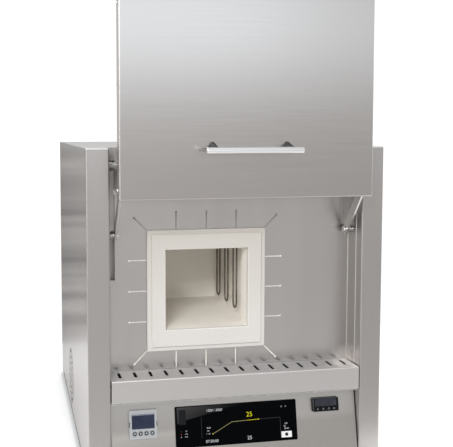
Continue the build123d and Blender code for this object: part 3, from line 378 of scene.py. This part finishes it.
# Edging: a dark rubber strip along the lower edge of each side, pressed on so that the sheet
# doesn't cut whoever lifts the case. Its thin dark line under the side is partly the rubber and
# partly painted shade where the side meets the bench.
edging_radius = 0.0011
edging_x, edging_z = 0.2437, 0.0102
edging_front, edging_back = -0.274, 0.340
for side, hand in ((-1, "left"), (1, "right")):
    strip = bpy.data.curves.new(f"bottom_edging_{hand}", "CURVE")
    strip.dimensions = "3D"
    strip.bevel_depth = edging_radius
    strip.bevel_resolution = 3
    line = strip.splines.new("POLY")
    line.points.add(1)
    line.points[0].co = (side * edging_x, edging_front, edging_z, 1)
    line.points[1].co = (side * edging_x, edging_back, edging_z, 1)
    strip.materials.append(rubber)
    edging = bpy.data.objects.new(f"bottom_edging_{hand}", strip)
    bpy.context.collection.objects.link(edging)
    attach(edging, "cabinet")


# Back wall of the recess and the inner side of the door: the same stainless sheet, ground finer
# and a little glossier, so that the arms and the shelf's slots show in it as blurred reflections.
recess_steel = ground_steel("recess_sheet", (0.62, 0.596, 0.578), "X", 0.265, 0.003, depth=0.25)
recess_cloud = pattern(recess_steel, (16, 4, 2.5), 2.0)
shade(recess_steel, span(recess_steel.node_tree, recess_cloud, 0.3, 0.7, 0.945, 1.035))
dress(recess_steel, "recess_panel", "door_inner_cover")


# Guard behind the slot on the left of the recess: a folded strip of dull sheet, spot-welded to
# the back of the wall, so that nothing can be dropped through the slot into the case.
def bent_sheet(name, outline, low, high, material, slot):
    """A strip of sheet with a constant plan, given as a closed loop of X and Y, and two heights."""
    mesh = bmesh.new()
    lower = [mesh.verts.new((x, y, low)) for x, y in outline]
    upper = [mesh.verts.new((x, y, high)) for x, y in outline]
    mesh.faces.new(lower[::-1])
    mesh.faces.new(upper)
    for n in range(len(outline)):
        follow = (n + 1) % len(outline)
        mesh.faces.new((lower[n], lower[follow], upper[follow], upper[n]))
    bmesh.ops.recalc_face_normals(mesh, faces=mesh.faces)
    data = bpy.data.meshes.new(name)
    mesh.to_mesh(data)
    mesh.free()
    data.materials.append(material)
    strip = bpy.data.objects.new(name, data)
    edge = strip.modifiers.new("edges", "BEVEL")
    edge.width = 0.0003
    edge.segments = 2
    edge.limit_method = "ANGLE"
    bpy.context.collection.objects.link(strip)
    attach(strip, "cabinet")


front = -0.280
wall_back = front + 0.0535
guard_sheet = 0.001
guard_deep = 0.009
guard_steel = ground_steel("slot_guard_sheet", (0.56, 0.54, 0.525), "Z", 0.5, 0.02, 0.3)
guard_left = [(-0.2085, 0), (-0.2085, guard_sheet), (-0.2065, guard_sheet), (-0.2065, guard_deep)]
guard_right = [(-0.1895, guard_deep), (-0.1895, guard_sheet), (-0.1835, guard_sheet), (-0.1835, 0)]
guard_inside = [(-0.1905, 0), (-0.1905, guard_deep - guard_sheet),
                (-0.2055, guard_deep - guard_sheet), (-0.2055, 0)]
guard_plan = [(x, wall_back + depth) for x, depth in guard_left + guard_right + guard_inside]
bent_sheet("slot_guard", guard_plan, 0.312, 0.527, guard_steel, "zinc")


# Slips beside the slot: two narrow pieces of the wall's own sheet, laid into the cut and welded.
# They narrow the slot to what the pivots need.
def flat_strip(name, x, depth, z, material, slot):
    """A flat bar between pairs of across, depth behind the case's front, and height."""
    near, far = front + depth[0], front + depth[1]
    bent_sheet(name, [(x[0], near), (x[1], near), (x[1], far), (x[0], far)], *z, material, slot)


slot_left, slot_inner, slot_right = -0.2063, -0.1948, -0.1905
slip_low, slip_foot_top, slip_high = 0.3188, 0.3243, 0.5203
slip_depth = (0.05203, 0.05345)
flat_strip("slot_slip_side", (slot_inner, slot_right), slip_depth, (slip_low, slip_high),
           recess_steel, "recess_steel")
flat_strip("slot_slip_foot", (slot_left, slot_inner), slip_depth, (slip_low, slip_foot_top),
           recess_steel, "recess_steel")


# Felt behind the relief cuts: a frame of grey felt strips, pressed between the wall and the
# insulation, that closes the cuts against draught. The top strip is a darker copy of the felt,
# as painted shade.
pale_felt = new_finish("pale_felt", (0.66, 0.65, 0.63), 0.95)
tint(pale_felt, pattern(pale_felt, 300, 4.0), (0.60, 0.59, 0.57), (0.70, 0.69, 0.67))
shaded_felt = new_finish("shaded_felt", (0.33, 0.32, 0.31), 0.95)
tint(shaded_felt, pattern(shaded_felt, 300, 4.0), (0.28, 0.27, 0.26), (0.38, 0.37, 0.36))
felt_depth = (0.0527, 0.0534)
felt_left, felt_right, felt_width = -0.1905, 0.1065, 0.048
for name, x, z, felt in (
        ("felt_left", (felt_left, felt_left + felt_width), (0.210, 0.4046), pale_felt),
        ("felt_right", (felt_right - felt_width, felt_right), (0.210, 0.4046), pale_felt),
        ("felt_top", (felt_left, felt_right), (0.4048, 0.4560), shaded_felt)):
    flat_strip(name, x, felt_depth, z, felt, "fibre")


# Duct under the shelf: a channel of sheet, painted black, that brings cool air to the slots; its
# black is painted shade that keeps the slots dark. A dark foam strip along the joint between the
# shelf's lip and the sloping panel is a painted shadow under the lip.
shade_black_paint = new_finish("duct_shade_black", (0.012, 0.012, 0.012), 0.8)
vary_gloss(shade_black_paint, pattern(shade_black_paint, 500), 0.72, 0.88)
for name, half, depth, z, stuff, slot in (
        ("vent_duct_floor", 0.204, (0.0025, 0.0514), (0.15, 0.1508), shade_black_paint, "black_plastic"),
        ("vent_duct_back", 0.204, (0.0505, 0.0514), (0.1508, 0.1713), shade_black_paint, "black_plastic"),
        ("lip_shadow_strip", 0.207, (0.0016, 0.0030), (0.1336, 0.1368), shaded_felt, "rubber")):
    flat_strip(name, (-half, half), depth, z, stuff, slot)


# Lap flanges: the sides of the recess wall are folded forward over the returns of the pillars.
# The cut edge of each flange and the fold behind it are strips of lighter steel, painted
# highlights that show as two light upright lines.
lap_steel = ground_steel("lap_sheet", (0.46, 0.44, 0.425), "Z", 0.36)
highlight_steel = ground_steel("cut_edge_highlight", (0.80, 0.78, 0.76), "Z", 0.42)
lap_height = (0.174, 0.5375)
for side, hand in ((-1, "left"), (1, "right")):
    for kind, depth, outer, inner, steel in (
            ("pillar_liner", (0.0025, 0.0519), 0.2090, 0.2086, lap_steel),
            ("lap_flange", (0.0212, 0.0510), 0.2088, 0.2077, lap_steel),
            ("lap_edge", (0.0200, 0.0212), 0.2088, 0.2077, highlight_steel),
            ("lap_fold", (0.0508, 0.0519), 0.2088, 0.2070, highlight_steel)):
        flat_strip(f"{kind}_{hand}", (side * outer, side * inner), depth, lap_height,
                   steel, "recess_steel")


# Insulation: boards of vacuum-formed ceramic fibre, cream white, with a soft felted surface and
# faint darker clouds. The chamber walls, the roof and the floor are cut from them.
def fibre_board(name, pale, deep):
    """Vacuum-formed fibre board with clouds of tone and a felted surface."""
    board = new_finish(name, pale, 0.95, shine=0.15)
    tint(board, pattern(board, 14), deep, pale, 0.3, 0.7)
    emboss(board, pattern(board, 520, 5.0), 0.0009, 0.45)
    return board


wall_fibre = fibre_board("chamber_fibre", (0.957, 0.917, 0.850), (0.938, 0.888, 0.815))
dress(wall_fibre, "insulation_left", "insulation_right", "insulation_roof", "insulation_floor",
      "insulation_rear", "insulation_front", "door_insulation")


# Collar and plug: denser, whiter fibre, sanded flat where the two meet, painted darker than the
# chamber's boards where the lamps fall full on it, as painted shade. The collar stands out of the
# recess wall round the chamber's mouth. Inside the mouth it is painted lighter, and painted shade
# darkens and warms it toward its top, under the raised door, while its foot is painted a little
# lighter.
collar_fibre = fibre_board("collar_fibre", (0.60, 0.577, 0.545), (0.58, 0.557, 0.52))
dress(collar_fibre, "door_plug")
mouth_fibre = fibre_board("collar_fibre_with_mouth", (0.625, 0.602, 0.567), (0.607, 0.584, 0.546))
mouth_inside = (0.73, 0.706, 0.665, 1)
collar_bottom, collar_top = 0.21, 0.40
bottom_shade, top_shade = (1.065, 1.065, 1.07, 1), (0.895, 0.868, 0.846, 1)
mouth_tree = mouth_fibre.node_tree
mouth_axes = axes_of(mouth_tree, "Object")
beyond = []
for axis, centre, half in (("X", -0.042, 0.0708), ("Z", 0.306, 0.0673)):
    offset = calculate(mouth_tree, "SUBTRACT", mouth_axes[axis], centre)
    offset = calculate(mouth_tree, "ABSOLUTE", offset)
    beyond.append(calculate(mouth_tree, "GREATER_THAN", offset, half))
outside = calculate(mouth_tree, "MAXIMUM", *beyond)
mouth_face = mouth_tree.nodes["Principled BSDF"].inputs["Base Color"].links[0].from_socket
feed(mouth_fibre, "Base Color", blend(mouth_tree, "MIX", outside, mouth_inside, mouth_face))
top_shade_share = span(mouth_tree, mouth_axes["Z"], collar_bottom, collar_top)
shade(mouth_fibre, blend(mouth_tree, "MIX", top_shade_share, bottom_shade, top_shade))
dress(mouth_fibre, "collar")


# Heating elements: hairpins of a dark, glassy silicide, bent from rod, three along each wall.
# Their thicker ends pass through the roof board and hang in the holders on top of it.
element_dark = new_finish("element_silicide", (0.085, 0.078, 0.070), 0.42, 0.35)
oxide = pattern(element_dark, (160, 160, 60), 4.0)
tint(element_dark, oxide, (0.085, 0.072, 0.058), (0.17, 0.148, 0.12))
vary_gloss(element_dark, oxide, 0.30, 0.55)
dress(element_dark, "heating_elements")


# Holders, straps and leads on the roof: fired ceramic blocks, and aluminium bars that join the
# elements in one chain and take the current to the transformer. The sheath of the thermocouple
# and the exhaust tube are fired alumina.
holder_clay = new_finish("holder_ceramic", (0.72, 0.66, 0.55), 0.6)
speckle = pattern(holder_clay, 700, 4.0)
tint(holder_clay, speckle, (0.62, 0.56, 0.45), (0.78, 0.73, 0.63))
emboss(holder_clay, speckle, 0.0003, 0.3)
dress(holder_clay, "element_holders")
alumina = new_finish("alumina_tube", (0.83, 0.80, 0.73), 0.45)
tint(alumina, pattern(alumina, (200, 30, 200)), (0.76, 0.72, 0.64), (0.86, 0.83, 0.77))
dress(alumina, "thermocouple", "exhaust_tube")
strap_metal = ground_steel("strap_aluminium", (0.62, 0.62, 0.63), "Y", 0.4, 0.1)
dress(strap_metal, "element_straps", "power_leads")


# Transformer, power controller and terminals: a laminated core in dark varnish, a finned sink
# in black anodised aluminium, and a grey moulded block with its screws.
core_varnish = new_finish("core_varnish", (0.06, 0.055, 0.05), 0.45, 0.3)
laminations = pattern(core_varnish, (10, 900, 10), 2.0)
tint(core_varnish, laminations, (0.03, 0.028, 0.026), (0.12, 0.11, 0.10))
emboss(core_varnish, laminations, 0.0004, 0.6)
dress(core_varnish, "transformer")
black_anodise = new_finish("black_anodise", (0.03, 0.03, 0.032), 0.5, 0.6)
vary_gloss(black_anodise, pattern(black_anodise, (900, 120, 900)), 0.42, 0.62)
dress(black_anodise, "power_controller")
terminal_grey = new_finish("terminal_plastic", (0.52, 0.52, 0.49), 0.55)
emboss(terminal_grey, pattern(terminal_grey, 1200), 0.0002, 0.3)
dress(terminal_grey, "terminal_block")


# Fan, gland and switch on the rear panel: black moulded parts with a fine eroded skin, and a
# bright wire guard over the fan. The pins of the linkage are of the same bright steel.
black_moulding = new_finish("black_moulding", (0.025, 0.026, 0.028), 0.5)
eroded = pattern(black_moulding, 1600)
vary_gloss(black_moulding, eroded, 0.42, 0.6)
emboss(black_moulding, eroded, 0.0002, 0.35)
dress(black_moulding, "fan_housing", "fan_rotor", "mains_gland", "mains_switch_frame")
rocker_black = new_finish("rocker_gloss", (0.03, 0.031, 0.034), 0.22)
vary_gloss(rocker_black, pattern(rocker_black, 300, 4.0), 0.16, 0.3)
dress(rocker_black, "mains_rocker")
bright_steel = ground_steel("bright_turned_steel", (0.70, 0.69, 0.68), "X", 0.22, 0.05)
dress(bright_steel, "fan_guard", "case_pivot_pins", "door_pivot_pins", "plug_frame")


# Display: a sheet of black glass, level with the tops of the two instruments. It is bonded to
# its housing behind the panel, and a faint grey painted reflection, drawn in glowing ink, lies over
# its upper left corner. What it shows is light: a curve of temperature over time, a few plain
# numbers and a key field.
display_black = new_finish("display_black_glass", (0.0015, 0.0017, 0.0022), 0.07, shine=0.02)
vary_gloss(display_black, pattern(display_black, 30), 0.05, 0.11)
dress(display_black, "display_glass")
dress(black_moulding, "display_housing")

fold_height = 0.026
slope_across = Vector((1, 0, 0))
slope_up = Vector((0, 0.19612, 0.98058))
slope_out = Vector((0, -0.98058, 0.19612))
glass_half, glass_top, glass_height = 0.103, 0.095, 0.0655
drawing_rise = 0.00212


def on_panel(x, height, rise):
    """A point on the sloping panel: across, up the slope from its fold, and out of its face."""
    return Vector((x, front, fold_height)) + slope_up * height + slope_out * rise


def on_glass(across, down):
    """A point of the display by shares of its width from the left and its height from the top."""
    return -glass_half + 2 * glass_half * across, glass_top - glass_height * down


def lit(name, colour, strength):
    """Ink of light for what the display draws."""
    ink = new_finish(name, (0.0, 0.0, 0.0), 0.4, shine=0.1)
    glow = ink.node_tree.nodes["Principled BSDF"]
    glow.inputs["Emission Color"].default_value = (*colour, 1)
    glow.inputs["Emission Strength"].default_value = strength
    flicker = pattern(ink, 900, 2.0)
    uneven = span(ink.node_tree, flicker, 0.0, 1.0, 0.94 * strength, 1.06 * strength)
    feed(ink, "Emission Strength", uneven)
    return ink


def drawn(name, outline, ink, rise=drawing_rise):
    """A flat filled shape on the panel, from a list of across and height pairs in metres."""
    mesh = bpy.data.meshes.new(name)
    corners = [on_panel(x, height, rise) for x, height in outline]
    mesh.from_pydata(corners, [], [range(len(outline))])
    mesh.materials.append(ink)
    shape = bpy.data.objects.new(name, mesh)
    bpy.context.collection.objects.link(shape)
    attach(shape, "cabinet")


def drawn_patch(name, corners, ink, rise=drawing_rise):
    """A filled patch on the display, from corners given as shares and in clockwise order."""
    drawn(name, [on_glass(*corner) for corner in corners][::-1], ink, rise)


def drawn_line(name, points, width, ink):
    """A line on the display through points given as shares, drawn as one flat mitred band."""
    path = [Vector(on_glass(*point)) for point in points]
    left, right = [], []
    for number, point in enumerate(path):
        before = (point - path[number - 1]).normalized() if number else None
        after = (path[number + 1] - point).normalized() if number + 1 < len(path) else None
        run = ((before or after) + (after or before)).normalized()
        side = Vector((-run.y, run.x)) * width / 2
        if before and after:
            side /= max(0.4, run.dot(after))
        left.append(tuple(point + side))
        right.append(tuple(point - side))
    drawn(name, left + right[::-1], ink)


def drawn_dot(name, across, down, radius, ink, rise=drawing_rise):
    """A round spot on the display."""
    x, height = on_glass(across, down)
    angles = [math.radians(15 * step) for step in range(24)]
    outline = [(x + radius * math.cos(a), height + radius * math.sin(a)) for a in angles]
    drawn(name, outline, ink, rise)


def number_on_glass(name, digits, across, down, size, ink, lean=0.0):
    """Plain digits on the display, centred on a share of its width and height."""
    text = bpy.data.curves.new(name, "FONT")
    text.body = digits
    text.size = size
    text.shear = lean
    text.align_x = "CENTER"
    text.align_y = "CENTER"
    text.materials.append(ink)
    written = bpy.data.objects.new(name, text)
    place = on_panel(*on_glass(across, down), drawing_rise)
    facing = Matrix((slope_across, slope_up, slope_out)).transposed().to_4x4()
    written.matrix_world = Matrix.Translation(place) @ facing
    bpy.context.collection.objects.link(written)
    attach(written, "cabinet")


yellow_ink = lit("yellow_light", (0.80, 0.72, 0.02), 0.9)
dim_yellow = lit("dim_yellow_light", (0.42, 0.40, 0.16), 0.8)
red_ink = lit("red_light", (0.65, 0.10, 0.03), 0.8)
white_ink = lit("white_light", (0.75, 0.76, 0.78), 0.85)
grey_ink = lit("grey_light", (0.22, 0.23, 0.25), 0.7)
faint_ink = lit("faint_light", (0.07, 0.073, 0.085), 0.8)
tab_ink = lit("tab_light", (0.010, 0.011, 0.013), 1.0)
field_ink = lit("field_light", (0.88, 0.88, 0.88), 1.0)
spot_black = new_finish("spot_black", (0.0, 0.0, 0.0), 0.5)
vary_gloss(spot_black, pattern(spot_black, 900, 4.0), 0.45, 0.6)
# A painted reflection: glowing grey ink that fades out along a slant.
reflection_ink = lit("painted_reflection_light", (0.02, 0.02, 0.02), 1.0)
sheen_tree = reflection_ink.node_tree
sheen_slope = (-0.45, 0, 1)
sheen_place = add_node(sheen_tree, "ShaderNodeTexCoord", {}).outputs["Object"]
sheen_slant = add_node(sheen_tree, "ShaderNodeVectorMath", {0: sheen_place, 1: sheen_slope},
                       operation="DOT_PRODUCT").outputs["Value"]
feed(reflection_ink, "Emission Color", span(sheen_tree, sheen_slant, 0.120, 0.160, 0.0, 0.050))
drawn_patch("display_painted_reflection", ((0.015, 0.02), (0.56, 0.02), (0.08, 0.34), (0.015, 0.42)),
            reflection_ink, 0.00204)
drawn_patch("display_tab", ((0.03, 0.08), (0.085, 0.08), (0.085, 0.44), (0.03, 0.44)),
            tab_ink, 0.00208)
running_start, running_end = (0.585, 0.438), (0.68, 0.43)
drawn_line("past_curve", [(0.30, 0.71), (0.46, 0.45), running_start], 0.0007, dim_yellow)
drawn_line("running_curve", [running_start, running_end], 0.0007, yellow_ink)
drawn_line("planned_curve", [running_end, (0.86, 0.42), (0.86, 0.92)], 0.0005, faint_ink)
drawn_line("time_axis", [(0.21, 0.28), (0.21, 0.80)], 0.0004, faint_ink)
for number, place in enumerate(((0.30, 0.71), running_end)):
    drawn_dot(f"curve_point_{number}", *place, 0.0009, yellow_ink)
number_on_glass("large_number", "25", 0.605, 0.30, 0.0108, yellow_ink)
number_on_glass("small_number", "25", 0.60, 0.87, 0.0082, white_ink)
number_on_glass("clock_number", "07:50:00", 0.292, 0.885, 0.0062, white_ink)
number_on_glass("title_number", "1200 / 3000", 0.315, 0.14, 0.0056, white_ink, 0.25)
for name, digits, across, down, size in (
        ("start_number_a", "00:00", 0.268, 0.56, 0.0031),
        ("start_number_b", "20", 0.262, 0.63, 0.0031),
        ("start_number_c", "1 : 25", 0.262, 0.70, 0.0031),
        ("end_number_a", "100", 0.905, 0.585, 0.0035),
        ("end_number_b", "20", 0.895, 0.645, 0.0035),
        ("end_number_c", "00:40", 0.91, 0.705, 0.0035)):
    number_on_glass(name, digits, across, down, size, white_ink)
drawn_dot("yellow_lamp", 0.875, 0.16, 0.0014, grey_ink)
drawn_dot("grey_lamp", 0.91, 0.16, 0.0013, grey_ink)
for number, (down, ink) in enumerate(((0.60, faint_ink), (0.67, red_ink), (0.735, white_ink))):
    drawn_dot(f"status_point_{number}", 0.045, down, 0.0007, ink)
    digits = str(100 * number + 10)
    number_on_glass(f"status_number_{number}", digits, 0.085, down, 0.0030, white_ink)
drawn_patch("stop_field", ((0.865, 0.775), (0.952, 0.775), (0.952, 0.925), (0.865, 0.925)),
            field_ink)
drawn_dot("stop_spot", 0.9085, 0.85, 0.0028, spot_black, 0.0022)


# Limit controller: a pale grey moulded case with a dark blue window, set into the panel from the
# front. A paler bar runs along the top of the window, a dark catch shows on each side of the
# bezel, and each of the four round keys has a dark ring printed round it.
pale_moulding = new_finish("pale_moulding", (0.345, 0.35, 0.355), 0.42)
pale_skin = pattern(pale_moulding, 1500)
vary_gloss(pale_moulding, pale_skin, 0.36, 0.5)
emboss(pale_moulding, pale_skin, 0.0001, 0.3)
dress(pale_moulding, "limit_controller", *[f"limit_key_{number}" for number in (1, 2, 3, 4)])
navy_window = new_finish("navy_window", (0.014, 0.020, 0.050), 0.2, shine=0.2)
tint(navy_window, pattern(navy_window, 60), (0.016, 0.020, 0.042), (0.024, 0.029, 0.056))
dress(navy_window, "limit_window")
dark_print = new_finish("dark_print", (0.012, 0.013, 0.018), 0.6, shine=0.1)
tint(dark_print, pattern(dark_print, 800), (0.009, 0.010, 0.014), (0.018, 0.020, 0.028))
window_bar = new_finish("window_bar", (0.16, 0.17, 0.21), 0.3)
tint(window_bar, pattern(window_bar, 150), (0.13, 0.14, 0.18), (0.20, 0.21, 0.26))


def box_print(name, centre, x, height, rise, ink):
    """A flat printed rectangle, from pairs of across and height round a centre line."""
    low, high = height
    left, right = centre + x[0], centre + x[1]
    drawn(name, [(left, low), (right, low), (right, high), (left, high)], ink, rise)


def ring_print(name, x, height, inner, outer, rise, ink, body="cabinet"):
    """A printed ring, thin and flat, around or on a key."""
    steps = 32
    angles = [2 * math.pi * step / steps for step in range(steps)]
    corners = [on_panel(x + radius * math.cos(a), height + radius * math.sin(a), rise)
               for radius in (inner, outer) for a in angles]
    faces = [(n, (n + 1) % steps, steps + (n + 1) % steps, steps + n) for n in range(steps)]
    mesh = bpy.data.meshes.new(name)
    mesh.from_pydata(corners, [], faces)
    mesh.materials.append(ink)
    ring = bpy.data.objects.new(name, mesh)
    bpy.context.collection.objects.link(ring)
    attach(ring, body)


limit_x, limit_row, limit_pitch = -0.156, 0.058, 0.0095
bezel_print, window_print, key_print = 0.00608, 0.00578, 0.00656
box_print("limit_window_bar", limit_x, (-0.0180, 0.0180), (0.0862, 0.0876), window_print,
          window_bar)
for number in (1, 2, 3, 4):
    key_x = limit_x + limit_pitch * (number - 2.5)
    ring_print(f"limit_key_rim_{number}", key_x, limit_row, 0.0034, 0.0038, bezel_print,
               dark_print)
    ring_print(f"limit_key_mark_{number}", key_x, limit_row, 0.0015, 0.0028, key_print,
               dark_print, f"limit_key_{number}")
for x, hand in (((-0.0228, -0.0216), "left"), ((0.0216, 0.0228), "right")):
    box_print(f"limit_catch_{hand}", limit_x, x, (0.0680, 0.0765), bezel_print,
              dark_print)


# Panel meter: a slate bezel whose bevel carries a thin painted highlight along its top and left,
# a dark window and four small keys below it.
# It is moulded and set in from the front like the controller, but in black.
slate_moulding = new_finish("slate_moulding", (0.006, 0.006, 0.007), 0.4, shine=0.08)
slate_skin = pattern(slate_moulding, 1500)
vary_gloss(slate_moulding, slate_skin, 0.34, 0.5)
emboss(slate_moulding, slate_skin, 0.0001, 0.3)
dress(slate_moulding, "meter_body", *[f"meter_key_{number}" for number in (1, 2, 3, 4)])
slate_window = new_finish("slate_window", (0.025, 0.026, 0.034), 0.2, shine=0.25)
tint(slate_window, pattern(slate_window, 70), (0.020, 0.021, 0.029), (0.032, 0.033, 0.044))
dress(slate_window, "meter_window")
pale_print = new_finish("pale_print", (0.24, 0.25, 0.27), 0.6)
tint(pale_print, pattern(pale_print, 800), (0.20, 0.21, 0.23), (0.30, 0.31, 0.33))
bevel_highlight = new_finish("painted_bevel_highlight", (0.07, 0.068, 0.072), 0.5)
tint(bevel_highlight, pattern(bevel_highlight, 400), (0.055, 0.053, 0.057), (0.10, 0.097, 0.102))
meter_x, meter_row, meter_pitch = 0.154, 0.0766, 0.0096
meter_low, meter_high = 0.0725, 0.0945
box_print("meter_bevel_top", meter_x, (-0.0222, 0.0222), (meter_high - 0.0008, meter_high),
          bezel_print, bevel_highlight)
box_print("meter_bevel_left", meter_x, (-0.0224, -0.0214), (meter_low, meter_high),
          bezel_print, bevel_highlight)
for number in (1, 2, 3, 4):
    key_x = meter_x + meter_pitch * (number - 2.5)
    ring_print(f"meter_key_mark_{number}", key_x, meter_row, 0.0009, 0.0014, key_print,
               pale_print, f"meter_key_{number}")


# Pivot brackets and arms: pressed channels in the recess corners, and flat arms cut from 3 mm
# stainless plate, ground along their length, whose front edges shine.
bracket_steel = ground_steel("bracket_sheet", (0.50, 0.485, 0.47), "Z", 0.38)
dress(bracket_steel, "pivot_brackets")
bush_steel = ground_steel("bush_steel", (0.42, 0.41, 0.40), "X", 0.42)
dress(bush_steel, "case_pivot_bushes")
arm_steel = ground_steel("arm_plate", (0.60, 0.58, 0.565), "Z", 0.30)
dress(arm_steel, "lower_arms", "upper_arms")


# Door: a pan of the same stainless sheet, ground across, so that its grain is drawn out level.
# Its sides are folded back from the face, and a painted highlight lightens the two folds.
door_steel = ground_steel("door_sheet", (0.574, 0.546, 0.526), "X", 0.22, 0.014)
paint_light_band(door_steel, "X", 0.1985, 0.1995, 1.0, 1.2, True)
dress(door_steel, "door_panel")


# Handle: a polished round steel bar on two short dark posts, which are turned and screwed to the
# door from behind.
handle_steel = ground_steel("handle_tube", (0.93, 0.922, 0.915), "X", 0.17)
dress(handle_steel, "handle_bar")
post_steel = new_finish("dark_post", (0.05, 0.05, 0.052), 0.6, 0.3, 0.2)
tint(post_steel, pattern(post_steel, (400, 30, 400)), (0.030, 0.030, 0.032), (0.055, 0.055, 0.057))
dress(post_steel, "handle_posts")


# Bolts of the linkage and screws of the sheet metal: domed heads with a hexagon socket.
# The pivots' heads sit over the plain heads of the pins, and the others hold the sheets.
socket_shadow = new_finish("socket_dark", (0.05, 0.05, 0.05), 0.6, 0.5)
tint(socket_shadow, pattern(socket_shadow, 900), (0.03, 0.03, 0.03), (0.08, 0.08, 0.08))


def domed_bolt(name, seat, outward, radius, height, body):
    """A domed bolt head with a hexagon socket, seated on a face and pointing outward."""
    steps = 24
    turns = [2 * math.pi * n / steps for n in range(steps)]
    sixth = math.pi / 3
    flat = 0.50 * radius * math.cos(sixth / 2)
    hexagon = [flat / math.cos(angle % sixth - sixth / 2) for angle in turns]
    profile = ((1.0, 0.0), (1.0, 0.30), (0.95, 0.62), (0.82, 0.86), (0.66, 0.98))
    rings = [([radius * share] * steps, height * rise) for share, rise in profile]
    rings += [(hexagon, height), ([0.97 * reach for reach in hexagon], 0.45 * height)]
    mesh = bmesh.new()
    loops = [[mesh.verts.new((reach * math.cos(angle), reach * math.sin(angle), z))
              for reach, angle in zip(reaches, turns)] for reaches, z in rings]
    for lower, upper in zip(loops, loops[1:]):
        for n in range(steps):
            follow = (n + 1) % steps
            mesh.faces.new((lower[n], lower[follow], upper[follow], upper[n])).smooth = True
    mesh.faces.new(loops[-1])
    mesh.faces.new(loops[0][::-1])
    socket_corners = loops[-1] + loops[-2]
    for face in mesh.faces:
        if all(corner in socket_corners for corner in face.verts):
            face.material_index = 1
            face.smooth = False
    data = bpy.data.meshes.new(name)
    mesh.to_mesh(data)
    mesh.free()
    data.materials.append(bright_steel)
    data.materials.append(socket_shadow)
    head = bpy.data.objects.new(name, data)
    facing = Vector(outward).to_track_quat("Z", "X").to_matrix().to_4x4()
    head.matrix_world = Matrix.Translation(seat) @ facing
    bpy.context.collection.objects.link(head)
    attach(head, body)


pivot_y = front + 0.036
door_back = front - 0.053 + 0.019
door_low = 0.463
for side, hand in ((-1, "left"), (1, "right")):
    for kind, x, z, radius, height in (("lower_pivot_bolt", 0.1944, 0.400, 0.0047, 0.0034),
                                       ("upper_pivot_bolt", 0.1874, 0.512, 0.0047, 0.0034),
                                       ("bracket_bolt", 0.1985, 0.469, 0.0045, 0.0042)):
        seat = (side * x, pivot_y, z)
        domed_bolt(f"{kind}_{hand}", seat, (-side, 0, 0), radius, height, "cabinet")
    for number, rise in enumerate((0.014, 0.174, 0.293), 1):
        seat = (side * 0.2005, door_back, door_low + rise)
        domed_bolt(f"door_screw_{hand}_{number}", seat, (side, 0, 0), 0.0026, 0.0013, "door")
rear_y = 0.345
for number, x in enumerate((-0.228, -0.10, 0.03, 0.228), 1):
    for row, z in (("top", 0.528), ("low", 0.023)):
        seat = (x, rear_y, z)
        domed_bolt(f"rear_screw_{row}_{number}", seat, (0, 1, 0), 0.0032, 0.0016, "cabinet")
fan_x, fan_z, fan_screw = 0.150, 0.420, 0.034
for number, (across, up) in enumerate(((-1, -1), (1, -1), (-1, 1), (1, 1)), 1):
    seat = (fan_x + across * fan_screw, rear_y + 0.002, fan_z + up * fan_screw)
    domed_bolt(f"guard_screw_{number}", seat, (0, 1, 0), 0.0030, 0.0018, "cabinet")
